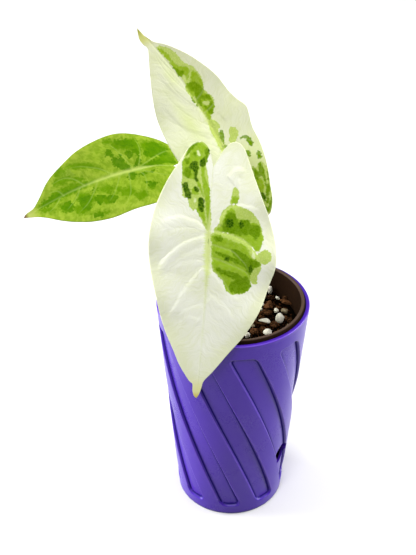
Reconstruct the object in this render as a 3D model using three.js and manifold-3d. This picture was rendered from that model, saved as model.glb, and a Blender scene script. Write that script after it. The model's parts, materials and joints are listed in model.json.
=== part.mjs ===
// A potted alocasia with cream and green leaves. The plant stands in a brown nursery pot,
// and the nursery pot hangs by its rolled rim inside a purple outer pot with twisted sunk panels.
// Millimetres, +Z up. The origin is the middle of the outer pot's flat underside.
// The viewer of the front stands at -Y, with +X on the right.

import * as THREE from 'three';
import { mergeVertices } from 'three/addons/utils/BufferGeometryUtils.js';
import Module from 'manifold-3d';

const wasm = await Module();
wasm.setup();

const DEG = Math.PI / 180;
const CLEARANCE = 0.3;

// Outer pot
const POT_HEIGHT = 143.4;
const POT_RIM_RADIUS = 45;
const POT_BASE_RADIUS = 33.5;
const POT_WALL = 3;
const POT_FLOOR = 4;
const POT_FOOT_CHAMFER = 1.2;
const RIM_WALL = 2.4;
const RIM_ROUND = 0.8;
const LEDGE_HEIGHT = 138;
const LEDGE_RADIUS = 40.8;

// Sunk panels, twisted round the cone; their angles are taken at the twist's reference height
const PANEL_COUNT = 9;
const PANEL_TWIST = -0.585 * DEG;
const TWIST_HEIGHT = 70;
const PANEL_START = -86.75 * DEG;
const PANEL_HALF_WIDTH = 10.25 * DEG;
const PANEL_EDGE = 0.9 * DEG;
const PANEL_BOTTOM = 10;
const PANEL_TOP = 132;
const PANEL_DEPTH = 1.8;
const PANEL_CORNER = 3;
const PANEL_ROW_STEP = 12;

// Round holes through two of the sunk panels
const HOLE_RADIUS = 6.8;
const HOLE_HEIGHT = 38;
const HOLE_PANELS = [1, 5];
const HOLE_SIDES = 28;

// Nursery pot
const NURSERY_RIM_RADIUS = 42.25;
const NURSERY_RIM_WIDTH = 2.4;
const NURSERY_RIM_TOP = 145.5;
const NURSERY_RADIUS_TOP = 40.3;
const NURSERY_RADIUS_BOTTOM = 28.5;
const NURSERY_BOTTOM = 6;
const NURSERY_WALL = 1;
const NURSERY_SIDES = 56;
const ROLL_STEPS = 6;
const DRAIN_RADIUS = 3;
const DRAIN_COUNT = 5;
const DRAIN_CIRCLE = 17;
const DRAIN_SIDES = 12;

// Potting mix
const MIX_TOP = 129.5;
const MIX_SIDES = 40;
const CHUNK_COUNT = 66;
const CHUNK_SIZE = [2.6, 5];
const CHUNK_WIDTH = [0.65, 0.95];
const CHUNK_THICKNESS = [0.55, 0.85];
const CHUNK_TILT = 0.8;
const CHUNK_SINK = 0.25;
const CHUNK_SEED = 11;

// Stem base
const STEM_RADIUS = 8;
const STEM_BOTTOM = 112;
const STEM_SHOULDER = 131;
const STEM_TOP = 136;
const STEM_SIDES = 24;
const DOME_STEPS = 4;

// Leaf blades and petioles
const BLADE_THICKNESS = 0.8;
const BLADE_ROWS = 36;
const BLADE_COLUMNS = 6;
const ROW_SWEEP = 1.9;
const COLUMN_SPREAD = 1.4;
const RIB_DEPTH = 1.4;
const HALF_WIDTH = 30;
const WAVE_SHIFT = 2;
const PETIOLE_SIDES = 12;
const PETIOLE_STEPS = 22;
const PETIOLE_BASE_RADIUS = 2.9;
const PETIOLE_TOP_RADIUS = 1.6;

// Each blade is laid out on a leaf plane. Its outline is listed as [along, across] from the junction
// with the petiole: along runs towards the tip, and across is positive on the side named right.
// bow bends the midrib in the plane, bend curls the blade lengthwise ahead of and behind the
// junction, fold raises the two sides off the midrib, arch turns the sides down again, and wave
// ripples both margins: its height at the widest place, its length along the blade and its start.
const LEAVES = [
  {
    name: 'front',
    color: 0xf0f2dc,
    junction: [-14.1, -30, 209.2],
    toTip: [-0.074, -0.366, -0.928],
    upward: [0.078, -0.929, 0.36],
    bow: 0.8,
    bend: [0.0012, 0.004],
    fold: [0.1, 0.1],
    foldWidth: 8,
    arch: 0.006,
    wave: [1.1, 34, 6],
    sinus: [-33, 0],
    tip: [93.6, 0.4],
    right: [
      [-37, 2.4], [-41.6, 4.6], [-45.6, 8], [-46.6, 11.5], [-44.2, 15.2], [-38.8, 17.9],
      [-29, 22], [-18, 26.9], [-7, 32], [5, 36], [17, 37], [27, 35], [37.5, 32.4], [46, 29],
      [57.7, 22.9], [68.7, 14.9], [78.4, 8.1], [84.2, 3.7], [88.5, 2.7], [92.2, 1.8],
    ],
    left: [
      [-37, -0.9], [-41.5, -2.3], [-45, -5], [-45.8, -8], [-43, -12.8], [-36, -17],
      [-27, -22.4], [-16, -27], [-4, -30.4], [9, -31.3], [22, -29.6], [39, -25], [48, -22.4],
      [57, -19], [66, -14.6], [75, -10.4], [83.7, -4.8], [86, -2.4], [90, -2], [92.8, -1.2],
    ],
    petiole: [[0.5, -4.2, 130], [-1, -5.5, 155], [-4.5, -6.5, 182], [-10, -13.5, 202]],
  },
  {
    name: 'back',
    color: 0xe6edc4,
    junction: [-2.5, 12, 228.3],
    toTip: [-0.548, 0.046, 0.835],
    upward: [0.224, -0.954, 0.199],
    bow: -3.3,
    bend: [-0.002, 0],
    fold: [0.1, 0.3],
    foldWidth: 5,
    arch: 0.01,
    wave: [1.2, 30, 20],
    sinus: [-27, 5],
    tip: [89.8, 0.4],
    right: [
      [-31, 7], [-35.5, 10], [-37.5, 14], [-36, 18.5], [-30, 21.8], [-20, 24], [-8, 25],
      [4, 24.5], [16.3, 23.2], [27.7, 22.3], [39.4, 20.2], [49.4, 16.9], [59.3, 12.2],
      [69.5, 6.5], [76.5, 2.4], [78.7, 1.9], [81, 2.6], [84, 2.7], [86.6, 1.9],
    ],
    left: [
      [-31.5, 4.3], [-36.5, 2.8], [-39.3, -0.2], [-38, -3], [-33, -7], [-26.7, -10],
      [-14, -15.3], [-1, -19.2], [10, -20.6], [18, -23.2], [22, -23.8], [28, -21.8],
      [35, -20.5], [44, -19.9], [53, -17.5], [63.5, -13.3], [73, -7.7], [78.8, -2.7],
      [81.4, -1.6], [84.4, -0.4], [87, 0.4],
    ],
    petiole: [[3.2, 2.8, 130], [4.5, 8, 155], [4.5, 16, 185], [1.5, 21, 212]],
  },
  {
    name: 'left',
    color: 0x8fb83a,
    junction: [-54, 16, 221.6],
    toTip: [-0.899, -0.401, -0.179],
    upward: [0.082, -0.553, 0.829],
    bow: -2.4,
    bend: [0.004, 0.03],
    fold: [0.2, 0.25],
    foldWidth: 5,
    arch: 0.01,
    wave: [0.9, 26, 4],
    sinus: [-21, 3],
    tip: [67.4, -0.8],
    right: [
      [-25, 5.5], [-28, 9.5], [-28, 14], [-24, 18], [-16, 21.5], [-8, 23.2], [0, 23.6],
      [12, 22.9], [24, 22.1], [34.4, 20.1], [42.2, 16.3], [49.6, 11.3], [56.6, 5.4],
      [60.3, 2.8], [64.2, 0.8],
    ],
    left: [
      [-25, 1.5], [-28.5, -1], [-30, -4.5], [-28.5, -8], [-24.3, -11], [-19.4, -14.2],
      [-11.3, -18.5], [-3, -22], [5.7, -24.4], [14, -25], [22, -23.9], [31, -21.5],
      [42.6, -16.7], [49, -12.9], [54.5, -8], [58.5, -4.7], [61, -3.1], [65.5, -2.2],
    ],
    petiole: [[-4, 1.8, 130], [-10, 5, 156], [-22, 12, 185], [-40, 20, 207]],
  },
];

const MATERIALS = {
  outerPot: new THREE.MeshStandardMaterial({ color: 0x5a3fb0, roughness: 0.4, metalness: 0 }),
  nurseryPot: new THREE.MeshStandardMaterial({ color: 0x2e2019, roughness: 0.5, metalness: 0 }),
  mix: new THREE.MeshStandardMaterial({ color: 0x3a241a, roughness: 0.95, metalness: 0 }),
  stem: new THREE.MeshStandardMaterial({ color: 0xa9b878, roughness: 0.6, metalness: 0 }),
  petiole: new THREE.MeshStandardMaterial({ color: 0x9dbb63, roughness: 0.5, metalness: 0 }),
};

// Solids for boolean cuts and joins

function toSolid(geometry) {
  const bare = geometry.clone();
  bare.deleteAttribute('normal');
  bare.deleteAttribute('uv');
  const merged = mergeVertices(bare, 1e-4);
  const mesh = new wasm.Mesh({
    numProp: 3,
    vertProperties: new Float32Array(merged.attributes.position.array),
    triVerts: new Uint32Array(merged.index.array),
  });
  return new wasm.Manifold(mesh);
}

function toGeometry(solid) {
  const mesh = solid.getMesh();
  const geometry = new THREE.BufferGeometry();
  geometry.setAttribute('position', new THREE.BufferAttribute(mesh.vertProperties, 3));
  geometry.setIndex(new THREE.BufferAttribute(mesh.triVerts, 1));
  geometry.computeVertexNormals();
  return geometry;
}

function largestBody(solid) {
  const bodies = solid.decompose();
  return bodies.reduce((best, body) => (body.volume() > best.volume() ? body : best));
}

// Joins rings of equal length into one closed skin, with a point on the axis at each end
function skin(rings, firstPoint, lastPoint) {
  const count = rings[0].length;
  const points = [...rings.flat(), firstPoint, lastPoint];
  const first = points.length - 2;
  const last = points.length - 1;
  const index = [];
  for (let i = 0; i < rings.length - 1; i++) {
    for (let j = 0; j < count; j++) {
      const next = (j + 1) % count;
      const a = i * count + j;
      const b = i * count + next;
      const c = (i + 1) * count + next;
      const d = (i + 1) * count + j;
      index.push(a, b, c, a, c, d);
    }
  }
  const top = (rings.length - 1) * count;
  for (let j = 0; j < count; j++) {
    const next = (j + 1) % count;
    index.push(first, next, j, last, top + j, top + next);
  }
  const geometry = new THREE.BufferGeometry().setFromPoints(points);
  geometry.setIndex(index);
  return geometry;
}

function revolve(profile, segments) {
  const points = profile.map(([radius, z]) => new THREE.Vector2(radius, z));
  return new THREE.LatheGeometry(points, segments).rotateX(Math.PI / 2);
}

function upright(radius, bottom, top, x, y, segments) {
  const cylinder = new THREE.CylinderGeometry(radius, radius, top - bottom, segments);
  return cylinder.rotateX(Math.PI / 2).translate(x, y, (top + bottom) / 2);
}

// Outer pot

function potRadius(z) {
  return POT_BASE_RADIUS + (POT_RIM_RADIUS - POT_BASE_RADIUS) * (z / POT_HEIGHT);
}

// How much narrower a panel is near its rounded ends, in millimetres on each side
function cornerInset(z) {
  const fromEnd = Math.min(z - PANEL_BOTTOM, PANEL_TOP - z);
  if (fromEnd >= PANEL_CORNER) return 0;
  const short = PANEL_CORNER - Math.max(fromEnd, 0);
  return PANEL_CORNER - Math.sqrt(PANEL_CORNER ** 2 - short ** 2);
}

function panelRing(z, sunk) {
  const radius = potRadius(z);
  const half = PANEL_HALF_WIDTH - cornerInset(z) / radius;
  const twist = PANEL_TWIST * (z - TWIST_HEIGHT);
  const ring = [];
  for (let k = 0; k < PANEL_COUNT; k++) {
    const middle = PANEL_START + (k * 2 * Math.PI) / PANEL_COUNT + twist;
    const columns = [
      [-Math.PI / PANEL_COUNT, false],
      [-half - PANEL_EDGE, false],
      [-half + PANEL_EDGE, true],
      [0, true],
      [half - PANEL_EDGE, true],
      [half + PANEL_EDGE, false],
    ];
    for (const [offset, inPanel] of columns) {
      const r = inPanel && sunk ? radius - PANEL_DEPTH : radius;
      const angle = middle + offset;
      ring.push(new THREE.Vector3(r * Math.cos(angle), r * Math.sin(angle), z));
    }
  }
  return ring;
}

// A plain ring whose points keep the angles of the twisted columns at the height twistZ
function plainRing(radius, z, twistZ) {
  return panelRing(twistZ, false).map((point) => {
    const angle = Math.atan2(point.y, point.x);
    return new THREE.Vector3(radius * Math.cos(angle), radius * Math.sin(angle), z);
  });
}

function outerPot() {
  const edge = PANEL_DEPTH / 2;
  const rings = [
    plainRing(POT_BASE_RADIUS - POT_FOOT_CHAMFER, 0, 0),
    panelRing(POT_FOOT_CHAMFER, false),
    panelRing(PANEL_BOTTOM - edge, false),
    panelRing(PANEL_BOTTOM + edge, true),
    panelRing(PANEL_BOTTOM + PANEL_CORNER, true),
  ];
  const first = PANEL_BOTTOM + PANEL_CORNER + PANEL_ROW_STEP;
  for (let z = first; z < PANEL_TOP - PANEL_CORNER - PANEL_ROW_STEP / 2; z += PANEL_ROW_STEP) {
    rings.push(panelRing(z, true));
  }
  const innerRim = POT_RIM_RADIUS - RIM_WALL;
  const floorRadius = potRadius(POT_FLOOR) - POT_WALL;
  rings.push(
    panelRing(PANEL_TOP - PANEL_CORNER, true),
    panelRing(PANEL_TOP - edge, true),
    panelRing(PANEL_TOP + edge, false),
    panelRing(POT_HEIGHT - RIM_ROUND, false),
    plainRing(POT_RIM_RADIUS - RIM_ROUND, POT_HEIGHT, POT_HEIGHT),
    plainRing(innerRim + RIM_ROUND / 2, POT_HEIGHT, POT_HEIGHT),
    plainRing(innerRim, POT_HEIGHT - RIM_ROUND / 2, POT_HEIGHT),
    plainRing(innerRim, LEDGE_HEIGHT, POT_HEIGHT),
    plainRing(LEDGE_RADIUS, LEDGE_HEIGHT, POT_HEIGHT),
    plainRing(floorRadius, POT_FLOOR, POT_HEIGHT),
  );
  const body = skin(rings, new THREE.Vector3(0, 0, 0), new THREE.Vector3(0, 0, POT_FLOOR));
  return toGeometry(cutHoles(toSolid(body)));
}

function cutHoles(solid) {
  let result = solid;
  for (const panel of HOLE_PANELS) {
    const twist = PANEL_TWIST * (HOLE_HEIGHT - TWIST_HEIGHT);
    const angle = PANEL_START + (panel * 2 * Math.PI) / PANEL_COUNT + twist;
    const drill = new THREE.CylinderGeometry(HOLE_RADIUS, HOLE_RADIUS, POT_RIM_RADIUS, HOLE_SIDES);
    drill.rotateZ(-Math.PI / 2);
    drill.translate((POT_RIM_RADIUS + POT_BASE_RADIUS) / 2, 0, HOLE_HEIGHT);
    drill.rotateZ(angle);
    result = result.subtract(toSolid(drill));
  }
  return result;
}

// Nursery pot

function nurseryRadius(z) {
  const share = (z - NURSERY_BOTTOM) / (LEDGE_HEIGHT - NURSERY_BOTTOM);
  return NURSERY_RADIUS_BOTTOM + (NURSERY_RADIUS_TOP - NURSERY_RADIUS_BOTTOM) * share;
}

function nurseryPot() {
  const rimBottom = LEDGE_HEIGHT + CLEARANCE;
  const rimInner = NURSERY_RIM_RADIUS - NURSERY_RIM_WIDTH;
  const round = NURSERY_RIM_WIDTH / 2;
  const roll = [];
  for (let step = 0; step <= ROLL_STEPS; step++) {
    const angle = (step / ROLL_STEPS) * Math.PI;
    roll.push([
      NURSERY_RIM_RADIUS - round + round * Math.cos(angle),
      NURSERY_RIM_TOP - round + round * Math.sin(angle),
    ]);
  }
  const wallTop = nurseryRadius(rimBottom) - NURSERY_WALL;
  const floorTop = NURSERY_BOTTOM + NURSERY_WALL;
  const profile = [
    [0, NURSERY_BOTTOM],
    [NURSERY_RADIUS_BOTTOM - 1, NURSERY_BOTTOM],
    [NURSERY_RADIUS_BOTTOM, NURSERY_BOTTOM + 1],
    [nurseryRadius(rimBottom), rimBottom],
    [NURSERY_RIM_RADIUS, rimBottom],
    ...roll,
    [rimInner, rimBottom + 1],
    [wallTop, rimBottom - 1],
    [nurseryRadius(floorTop) - NURSERY_WALL, floorTop],
    [0, floorTop],
  ];
  let solid = toSolid(revolve(profile, NURSERY_SIDES));
  for (let k = 0; k < DRAIN_COUNT; k++) {
    const angle = (k / DRAIN_COUNT) * 2 * Math.PI;
    const x = DRAIN_CIRCLE * Math.cos(angle);
    const y = DRAIN_CIRCLE * Math.sin(angle);
    const hole = upright(DRAIN_RADIUS, NURSERY_BOTTOM - 1, floorTop + 1, x, y, DRAIN_SIDES);
    solid = solid.subtract(toSolid(hole));
  }
  return toGeometry(solid);
}

// Potting mix: a plug that fills the nursery pot, with chunks sunk into its top

function seededRandom(seed) {
  let state = seed;
  return () => {
    state = (Math.imul(state, 1664525) + 1013904223) >>> 0;
    return state / 4294967296;
  };
}

function between([low, high], share) {
  return low + (high - low) * share;
}

function chunk(random, x, y) {
  const size = between(CHUNK_SIZE, random() ** 2);
  const geometry = new THREE.IcosahedronGeometry(size, 0);
  geometry.scale(1, between(CHUNK_WIDTH, random()), between(CHUNK_THICKNESS, random()));
  geometry.rotateX((random() - 0.5) * CHUNK_TILT);
  geometry.rotateZ(random() * Math.PI);
  return geometry.translate(x, y, MIX_TOP - CHUNK_SINK * size);
}

function pottingMix() {
  const bottom = NURSERY_BOTTOM + NURSERY_WALL + CLEARANCE;
  const inside = (z) => nurseryRadius(z) - NURSERY_WALL - CLEARANCE;
  const profile = [[0, bottom], [inside(bottom), bottom], [inside(MIX_TOP), MIX_TOP], [0, MIX_TOP]];
  let solid = toSolid(revolve(profile, MIX_SIDES));
  const random = seededRandom(CHUNK_SEED);
  const goldenAngle = Math.PI * (3 - Math.sqrt(5));
  const reach = inside(MIX_TOP) - CHUNK_SIZE[1] - 1;
  for (let k = 0; k < CHUNK_COUNT; k++) {
    const radius = reach * Math.sqrt((k + 0.5) / CHUNK_COUNT) + (random() - 0.5);
    const angle = k * goldenAngle + (random() - 0.5) * 0.2;
    solid = solid.add(toSolid(chunk(random, radius * Math.cos(angle), radius * Math.sin(angle))));
  }
  const holeRadius = STEM_RADIUS + CLEARANCE;
  const stemHole = upright(holeRadius, STEM_BOTTOM - CLEARANCE, STEM_TOP + 10, 0, 0, STEM_SIDES);
  return toGeometry(largestBody(solid.subtract(toSolid(stemHole))));
}

// Stem base: a short round stub with a domed top, grown by the clearance for the cuts

function stemStub(grow) {
  const radius = STEM_RADIUS + grow;
  const dome = [];
  for (let step = 1; step <= DOME_STEPS; step++) {
    const angle = (step / DOME_STEPS) * (Math.PI / 2);
    const z = STEM_SHOULDER + (STEM_TOP + grow - STEM_SHOULDER) * Math.sin(angle);
    dome.push([step === DOME_STEPS ? 0 : radius * Math.cos(angle), z]);
  }
  const bottom = STEM_BOTTOM - grow;
  const foot = [[0, bottom], [radius * 0.6, bottom], [radius, bottom + 6]];
  return revolve([...foot, [radius, STEM_SHOULDER], ...dome], STEM_SIDES);
}

// Leaf blades

function leafFrame(leaf) {
  const toTip = new THREE.Vector3(...leaf.toTip).normalize();
  const upward = new THREE.Vector3(...leaf.upward);
  upward.addScaledVector(toTip, -upward.dot(toTip)).normalize();
  const across = new THREE.Vector3().crossVectors(upward, toTip);
  return { origin: new THREE.Vector3(...leaf.junction), toTip, upward, across };
}

// The midrib's place across the blade: a bow ahead of the junction, and behind it a curve that
// leaves the junction at the same slope and ends in the notch between the lobes
function midribAcross(leaf, along) {
  const length = leaf.tip[0];
  const slope = (4 * leaf.bow) / length;
  if (along >= 0) return slope * along * (1 - along / length) + leaf.tip[1] * (along / length) ** 3;
  const [sinusAlong, sinusAcross] = leaf.sinus;
  const curve = (sinusAcross - slope * sinusAlong) / sinusAlong ** 2;
  return slope * along + curve * along ** 2;
}

function bladeHeight(leaf, along, across) {
  const side = across - midribAcross(leaf, along);
  const bend = along > 0 ? leaf.bend[0] : leaf.bend[1];
  const fold = side > 0 ? leaf.fold[0] : leaf.fold[1];
  const raised = fold * (Math.hypot(side, leaf.foldWidth) - leaf.foldWidth);
  const [waveHeight, waveLength, waveStart] = leaf.wave;
  const phase = (2 * Math.PI * (along - waveStart)) / waveLength + (side > 0 ? 0 : WAVE_SHIFT);
  const wave = waveHeight * (side / HALF_WIDTH) ** 2 * Math.sin(phase);
  return raised + wave - (bend * along ** 2) / 2 - (leaf.arch * side ** 2) / 2;
}

function bladePoint(leaf, frame, along, across, lift) {
  return frame.origin
    .clone()
    .addScaledVector(frame.toTip, along)
    .addScaledVector(frame.across, across)
    .addScaledVector(frame.upward, bladeHeight(leaf, along, across) + lift);
}

// Rows run from the midrib out to both margins, swept towards the tip as the side veins are.
// The first row is the notch between the lobes and the last one is the tip.
function bladeRows(leaf) {
  const sides = [leaf.left, leaf.right].map((side) => {
    const points = [leaf.sinus, ...side, leaf.tip].map((point) => new THREE.Vector2(...point));
    return new THREE.SplineCurve(points).getSpacedPoints(BLADE_ROWS);
  });
  const rows = [];
  for (let k = 0; k <= BLADE_ROWS; k++) {
    const along = leaf.sinus[0] + (leaf.tip[0] - leaf.sinus[0]) * (k / BLADE_ROWS) ** ROW_SWEEP;
    const middle = new THREE.Vector2(along, midribAcross(leaf, along));
    const row = [];
    for (let j = -BLADE_COLUMNS; j <= BLADE_COLUMNS; j++) {
      const edge = sides[j < 0 ? 0 : 1][k];
      row.push(middle.clone().lerp(edge, (Math.abs(j) / BLADE_COLUMNS) ** COLUMN_SPREAD));
    }
    rows.push(row);
  }
  return rows;
}

// A closed blade: upper and lower faces split into the same triangles, a midrib along the lower
// face, and a rim between them. It is grown by grow on both faces for the cuts.
function blade(leaf, grow) {
  const frame = leafFrame(leaf);
  const rows = bladeRows(leaf);
  const width = 2 * BLADE_COLUMNS + 1;
  const points = [];
  const lower = (k, j) => {
    const rib = j === BLADE_COLUMNS ? RIB_DEPTH * (1 - k / BLADE_ROWS) : 0;
    return -BLADE_THICKNESS - rib - grow;
  };
  const inner = rows.slice(1, -1);
  for (const lift of [() => grow, lower]) {
    inner.forEach((row, k) => {
      row.forEach(({ x, y }, j) => points.push(bladePoint(leaf, frame, x, y, lift(k, j))));
    });
    points.push(bladePoint(leaf, frame, rows[0][0].x, rows[0][0].y, lift(0, 0)));
    points.push(bladePoint(leaf, frame, rows.at(-1)[0].x, rows.at(-1)[0].y, lift(0, 0)));
  }
  const faceSize = inner.length * width + 2;
  const notch = faceSize - 2;
  const tip = faceSize - 1;
  const upper = [];
  for (let k = 0; k < inner.length - 1; k++) {
    for (let j = 0; j < width - 1; j++) {
      const a = k * width + j;
      upper.push([a, a + width, a + width + 1], [a, a + width + 1, a + 1]);
    }
  }
  const lastRow = (inner.length - 1) * width;
  for (let j = 0; j < width - 1; j++) {
    upper.push([notch, j, j + 1], [tip, lastRow + j + 1, lastRow + j]);
  }
  const rim = [notch];
  for (let k = 0; k < inner.length; k++) rim.push(k * width);
  rim.push(tip);
  for (let k = inner.length - 1; k >= 0; k--) rim.push(k * width + width - 1);
  const index = [];
  for (const [a, b, c] of upper) index.push(a, b, c, a + faceSize, c + faceSize, b + faceSize);
  rim.forEach((a, i) => {
    const b = rim[(i + 1) % rim.length];
    index.push(b, a, a + faceSize, b, a + faceSize, b + faceSize);
  });
  const geometry = new THREE.BufferGeometry().setFromPoints(points);
  geometry.setIndex(index);
  return geometry;
}

// Petiole: a tapering round stalk from inside the stem base up to the blade's junction,
// cut back to the clearance where it meets the stem base and the underside of the blade
function petiole(leaf, stemSolid) {
  const frame = leafFrame(leaf);
  const path = [...leaf.petiole.map((point) => new THREE.Vector3(...point)), frame.origin];
  const curve = new THREE.CatmullRomCurve3(path, false, 'centripetal');
  const centres = curve.getSpacedPoints(PETIOLE_STEPS);
  const frames = curve.computeFrenetFrames(PETIOLE_STEPS, false);
  const rings = centres.map((centre, i) => {
    const share = i / PETIOLE_STEPS;
    const radius = PETIOLE_TOP_RADIUS + (PETIOLE_BASE_RADIUS - PETIOLE_TOP_RADIUS) * (1 - share) ** 1.5;
    const ring = [];
    for (let j = 0; j < PETIOLE_SIDES; j++) {
      const angle = (j / PETIOLE_SIDES) * 2 * Math.PI;
      const point = centre.clone();
      point.addScaledVector(frames.normals[i], radius * Math.cos(angle));
      point.addScaledVector(frames.binormals[i], radius * Math.sin(angle));
      ring.push(point);
    }
    return ring;
  });
  let solid = toSolid(skin(rings, centres[0], centres.at(-1)));
  solid = solid.subtract(toSolid(blade(leaf, CLEARANCE)));
  return toGeometry(largestBody(solid.subtract(stemSolid)));
}

// Assembly

function addMesh(group, name, geometry, material) {
  const mesh = new THREE.Mesh(geometry, material);
  mesh.name = name;
  group.add(mesh);
}

const plant = new THREE.Group();
addMesh(plant, 'outer_pot', outerPot(), MATERIALS.outerPot);
addMesh(plant, 'nursery_pot', nurseryPot(), MATERIALS.nurseryPot);
addMesh(plant, 'potting_mix', pottingMix(), MATERIALS.mix);
addMesh(plant, 'stem_base', toGeometry(toSolid(stemStub(0))), MATERIALS.stem);

const grownStem = toSolid(stemStub(CLEARANCE));
for (const leaf of LEAVES) {
  const material = new THREE.MeshStandardMaterial({ color: leaf.color, roughness: 0.45, metalness: 0 });
  addMesh(plant, `blade_${leaf.name}`, blade(leaf, 0), material);
  addMesh(plant, `petiole_${leaf.name}`, petiole(leaf, grownStem), MATERIALS.petiole);
}

export default plant;
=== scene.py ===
"""Dresses a potted alocasia: cream and green leaves, a nursery pot and a purple outer pot.

Sizes are in millimetres in the frame of the solids and become metres when a mesh is made.
"""

import json
import logging
import math
from collections.abc import Callable, Iterable, Sequence
from dataclasses import dataclass
from enum import Enum
from functools import cache

import bmesh
import bpy
import numpy as np
from mathutils import Matrix, Vector, noise

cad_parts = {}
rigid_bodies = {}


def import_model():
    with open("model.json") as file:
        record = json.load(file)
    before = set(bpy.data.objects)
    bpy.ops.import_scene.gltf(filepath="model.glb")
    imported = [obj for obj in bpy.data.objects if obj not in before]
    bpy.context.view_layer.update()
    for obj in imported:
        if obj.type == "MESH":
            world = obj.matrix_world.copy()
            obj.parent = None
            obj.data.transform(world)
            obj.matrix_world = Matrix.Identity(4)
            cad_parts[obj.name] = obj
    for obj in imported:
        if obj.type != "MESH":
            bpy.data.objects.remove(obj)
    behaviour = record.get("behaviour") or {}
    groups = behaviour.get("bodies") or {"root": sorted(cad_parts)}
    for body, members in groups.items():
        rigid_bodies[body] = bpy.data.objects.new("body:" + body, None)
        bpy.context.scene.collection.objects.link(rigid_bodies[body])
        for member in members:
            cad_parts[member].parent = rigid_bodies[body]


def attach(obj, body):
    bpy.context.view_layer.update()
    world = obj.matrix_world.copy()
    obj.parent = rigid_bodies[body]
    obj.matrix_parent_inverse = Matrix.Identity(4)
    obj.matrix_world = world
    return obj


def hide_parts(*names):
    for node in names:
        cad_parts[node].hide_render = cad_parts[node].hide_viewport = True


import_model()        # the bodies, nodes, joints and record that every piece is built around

LOG = logging.getLogger("potted_alocasia")
BODY = "root"
MM = 0.001
CRISP_DEGREES = 38
OUTLINE_STEPS = 5

Pair = tuple[float, float]
Triple = tuple[float, float, float]
Outline = Sequence[float]        # point after point: its place along the leaf, then across it
Route = Sequence[Triple]
Socket = bpy.types.NodeSocket
Object = bpy.types.Object
Mesh = bpy.types.Mesh
Material = bpy.types.Material
Outputs = bpy.types.bpy_prop_collection
Array = np.ndarray


# Curves and distances

def curve(points: Iterable[Sequence[float]], steps: int, closed: bool = False, power: float = 0.0) -> Array:
    """Runs a Catmull-Rom curve through points.

    Args:
        points: The points that the curve passes through, on a plane or in space.
        steps: How many steps each span is cut into.
        closed: Whether the curve returns to its first point.
        power: 0 for a uniform curve, and 0.5 for a centripetal one.

    Returns:
        The points of the curve, with the first one left out at the end of a closed curve.
    """
    knots = np.asarray(points, float)
    if closed:
        knots = np.vstack([knots[-1:], knots, knots[:2]])
    elif power:
        knots = np.vstack([2 * knots[0] - knots[1], knots, 2 * knots[-1] - knots[-2]])
    else:
        knots = np.vstack([knots[:1], knots, knots[-1:]])
    gaps = np.linalg.norm(np.diff(knots, axis=0), axis=1) ** power
    share = (np.arange(steps) / steps)[:, None]
    spans = []
    for k in range(1, len(knots) - 2):
        before, start, end, after = knots[k - 1:k + 3]
        last, gap, following = gaps[k - 1:k + 2]
        leave = (start - before) * gap / last - (end - before) * gap / (last + gap) + end - start
        arrive = end - start - (after - start) * gap / (gap + following) + (after - end) * gap / following
        bend = 3 * (end - start) - 2 * leave - arrive
        close = 2 * (start - end) + leave + arrive
        spans.append(start + leave * share + bend * share**2 + close * share**3)
    return np.vstack(spans if closed else [*spans, knots[-2:-1]])


def spaced(line: Array, count: int) -> Array:
    """Cuts a line into count equal lengths and returns the count + 1 points."""
    lengths = np.concatenate([[0], np.cumsum(np.linalg.norm(np.diff(line, axis=0), axis=1))])
    wanted = np.linspace(0, lengths[-1], count + 1)
    return np.stack([np.interp(wanted, lengths, column) for column in line.T], axis=1)


def line_distance(places: Array, line: Array) -> tuple[Array, Array]:
    """Measures how far places lie from a line.

    Args:
        places: The places to measure, one a row.
        line: The points of the line.

    Returns:
        The distance of each place, and the share of the line at its nearest point.
    """
    start, step = line[:-1], np.diff(line, axis=0)
    away = places[:, None, :] - start[None]
    share = np.clip((away * step).sum(-1) / np.maximum((step**2).sum(-1), 1e-9), 0, 1)
    gaps = np.linalg.norm(away - share[..., None] * step, axis=-1)
    nearest = gaps.argmin(1)
    rows = np.arange(len(places))
    return gaps[rows, nearest], (nearest + share[rows, nearest]) / len(step)


def inside_distance(places: Array, outline: Outline) -> Array:
    """Measures how deep places lie inside a smooth closed outline.

    Args:
        places: The places to measure, one a row.
        outline: The points that the outline passes through.

    Returns:
        The distance to the outline, positive inside it.
    """
    ring = curve(np.reshape(outline, (-1, 2)), OUTLINE_STEPS, closed=True)
    loop = np.vstack([ring, ring[:1]])
    gap, _ = line_distance(places, loop)
    start, end = loop[:-1], loop[1:]
    x, y = places[:, :1], places[:, 1:]
    rise = np.where(np.abs(end[:, 1] - start[:, 1]) < 1e-9, 1e-9, end[:, 1] - start[:, 1])
    passes = (start[:, 1] > y) != (end[:, 1] > y)
    to_left = x < start[:, 0] + (end[:, 0] - start[:, 0]) * (y - start[:, 1]) / rise
    inside = (passes & to_left).sum(1) % 2 == 1
    return np.where(inside, gap, -gap)


def smooth_share(value: Array, low: float, high: float) -> Array:
    """Rises smoothly from 0 at low to 1 at high."""
    share = np.clip((value - low) / (high - low), 0, 1)
    return share * share * (3 - 2 * share)


# Meshes

def linked(name: str, data: bpy.types.ID) -> Object:
    """Adds an object to the scene."""
    obj = bpy.data.objects.new(name, data)
    bpy.context.scene.collection.objects.link(obj)
    return obj


def mesh_object(name: str, points: Array, faces: Sequence[Sequence[int]]) -> Object:
    """Makes a smooth mesh object from points in millimetres."""
    mesh = bpy.data.meshes.new(name)
    mesh.from_pydata((np.asarray(points) * MM).tolist(), [], faces)
    mesh.validate()
    shape = bmesh.new()
    shape.from_mesh(mesh)
    if shape.calc_volume(signed=True) < 0:
        bmesh.ops.reverse_faces(shape, faces=shape.faces)
        shape.to_mesh(mesh)
    shape.free()
    mesh.shade_smooth()
    return linked(name, mesh)


def points_of(mesh: Mesh) -> Array:
    """Returns the points of a mesh in millimetres."""
    return np.array([vertex.co[:] for vertex in mesh.vertices]) / MM


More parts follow.
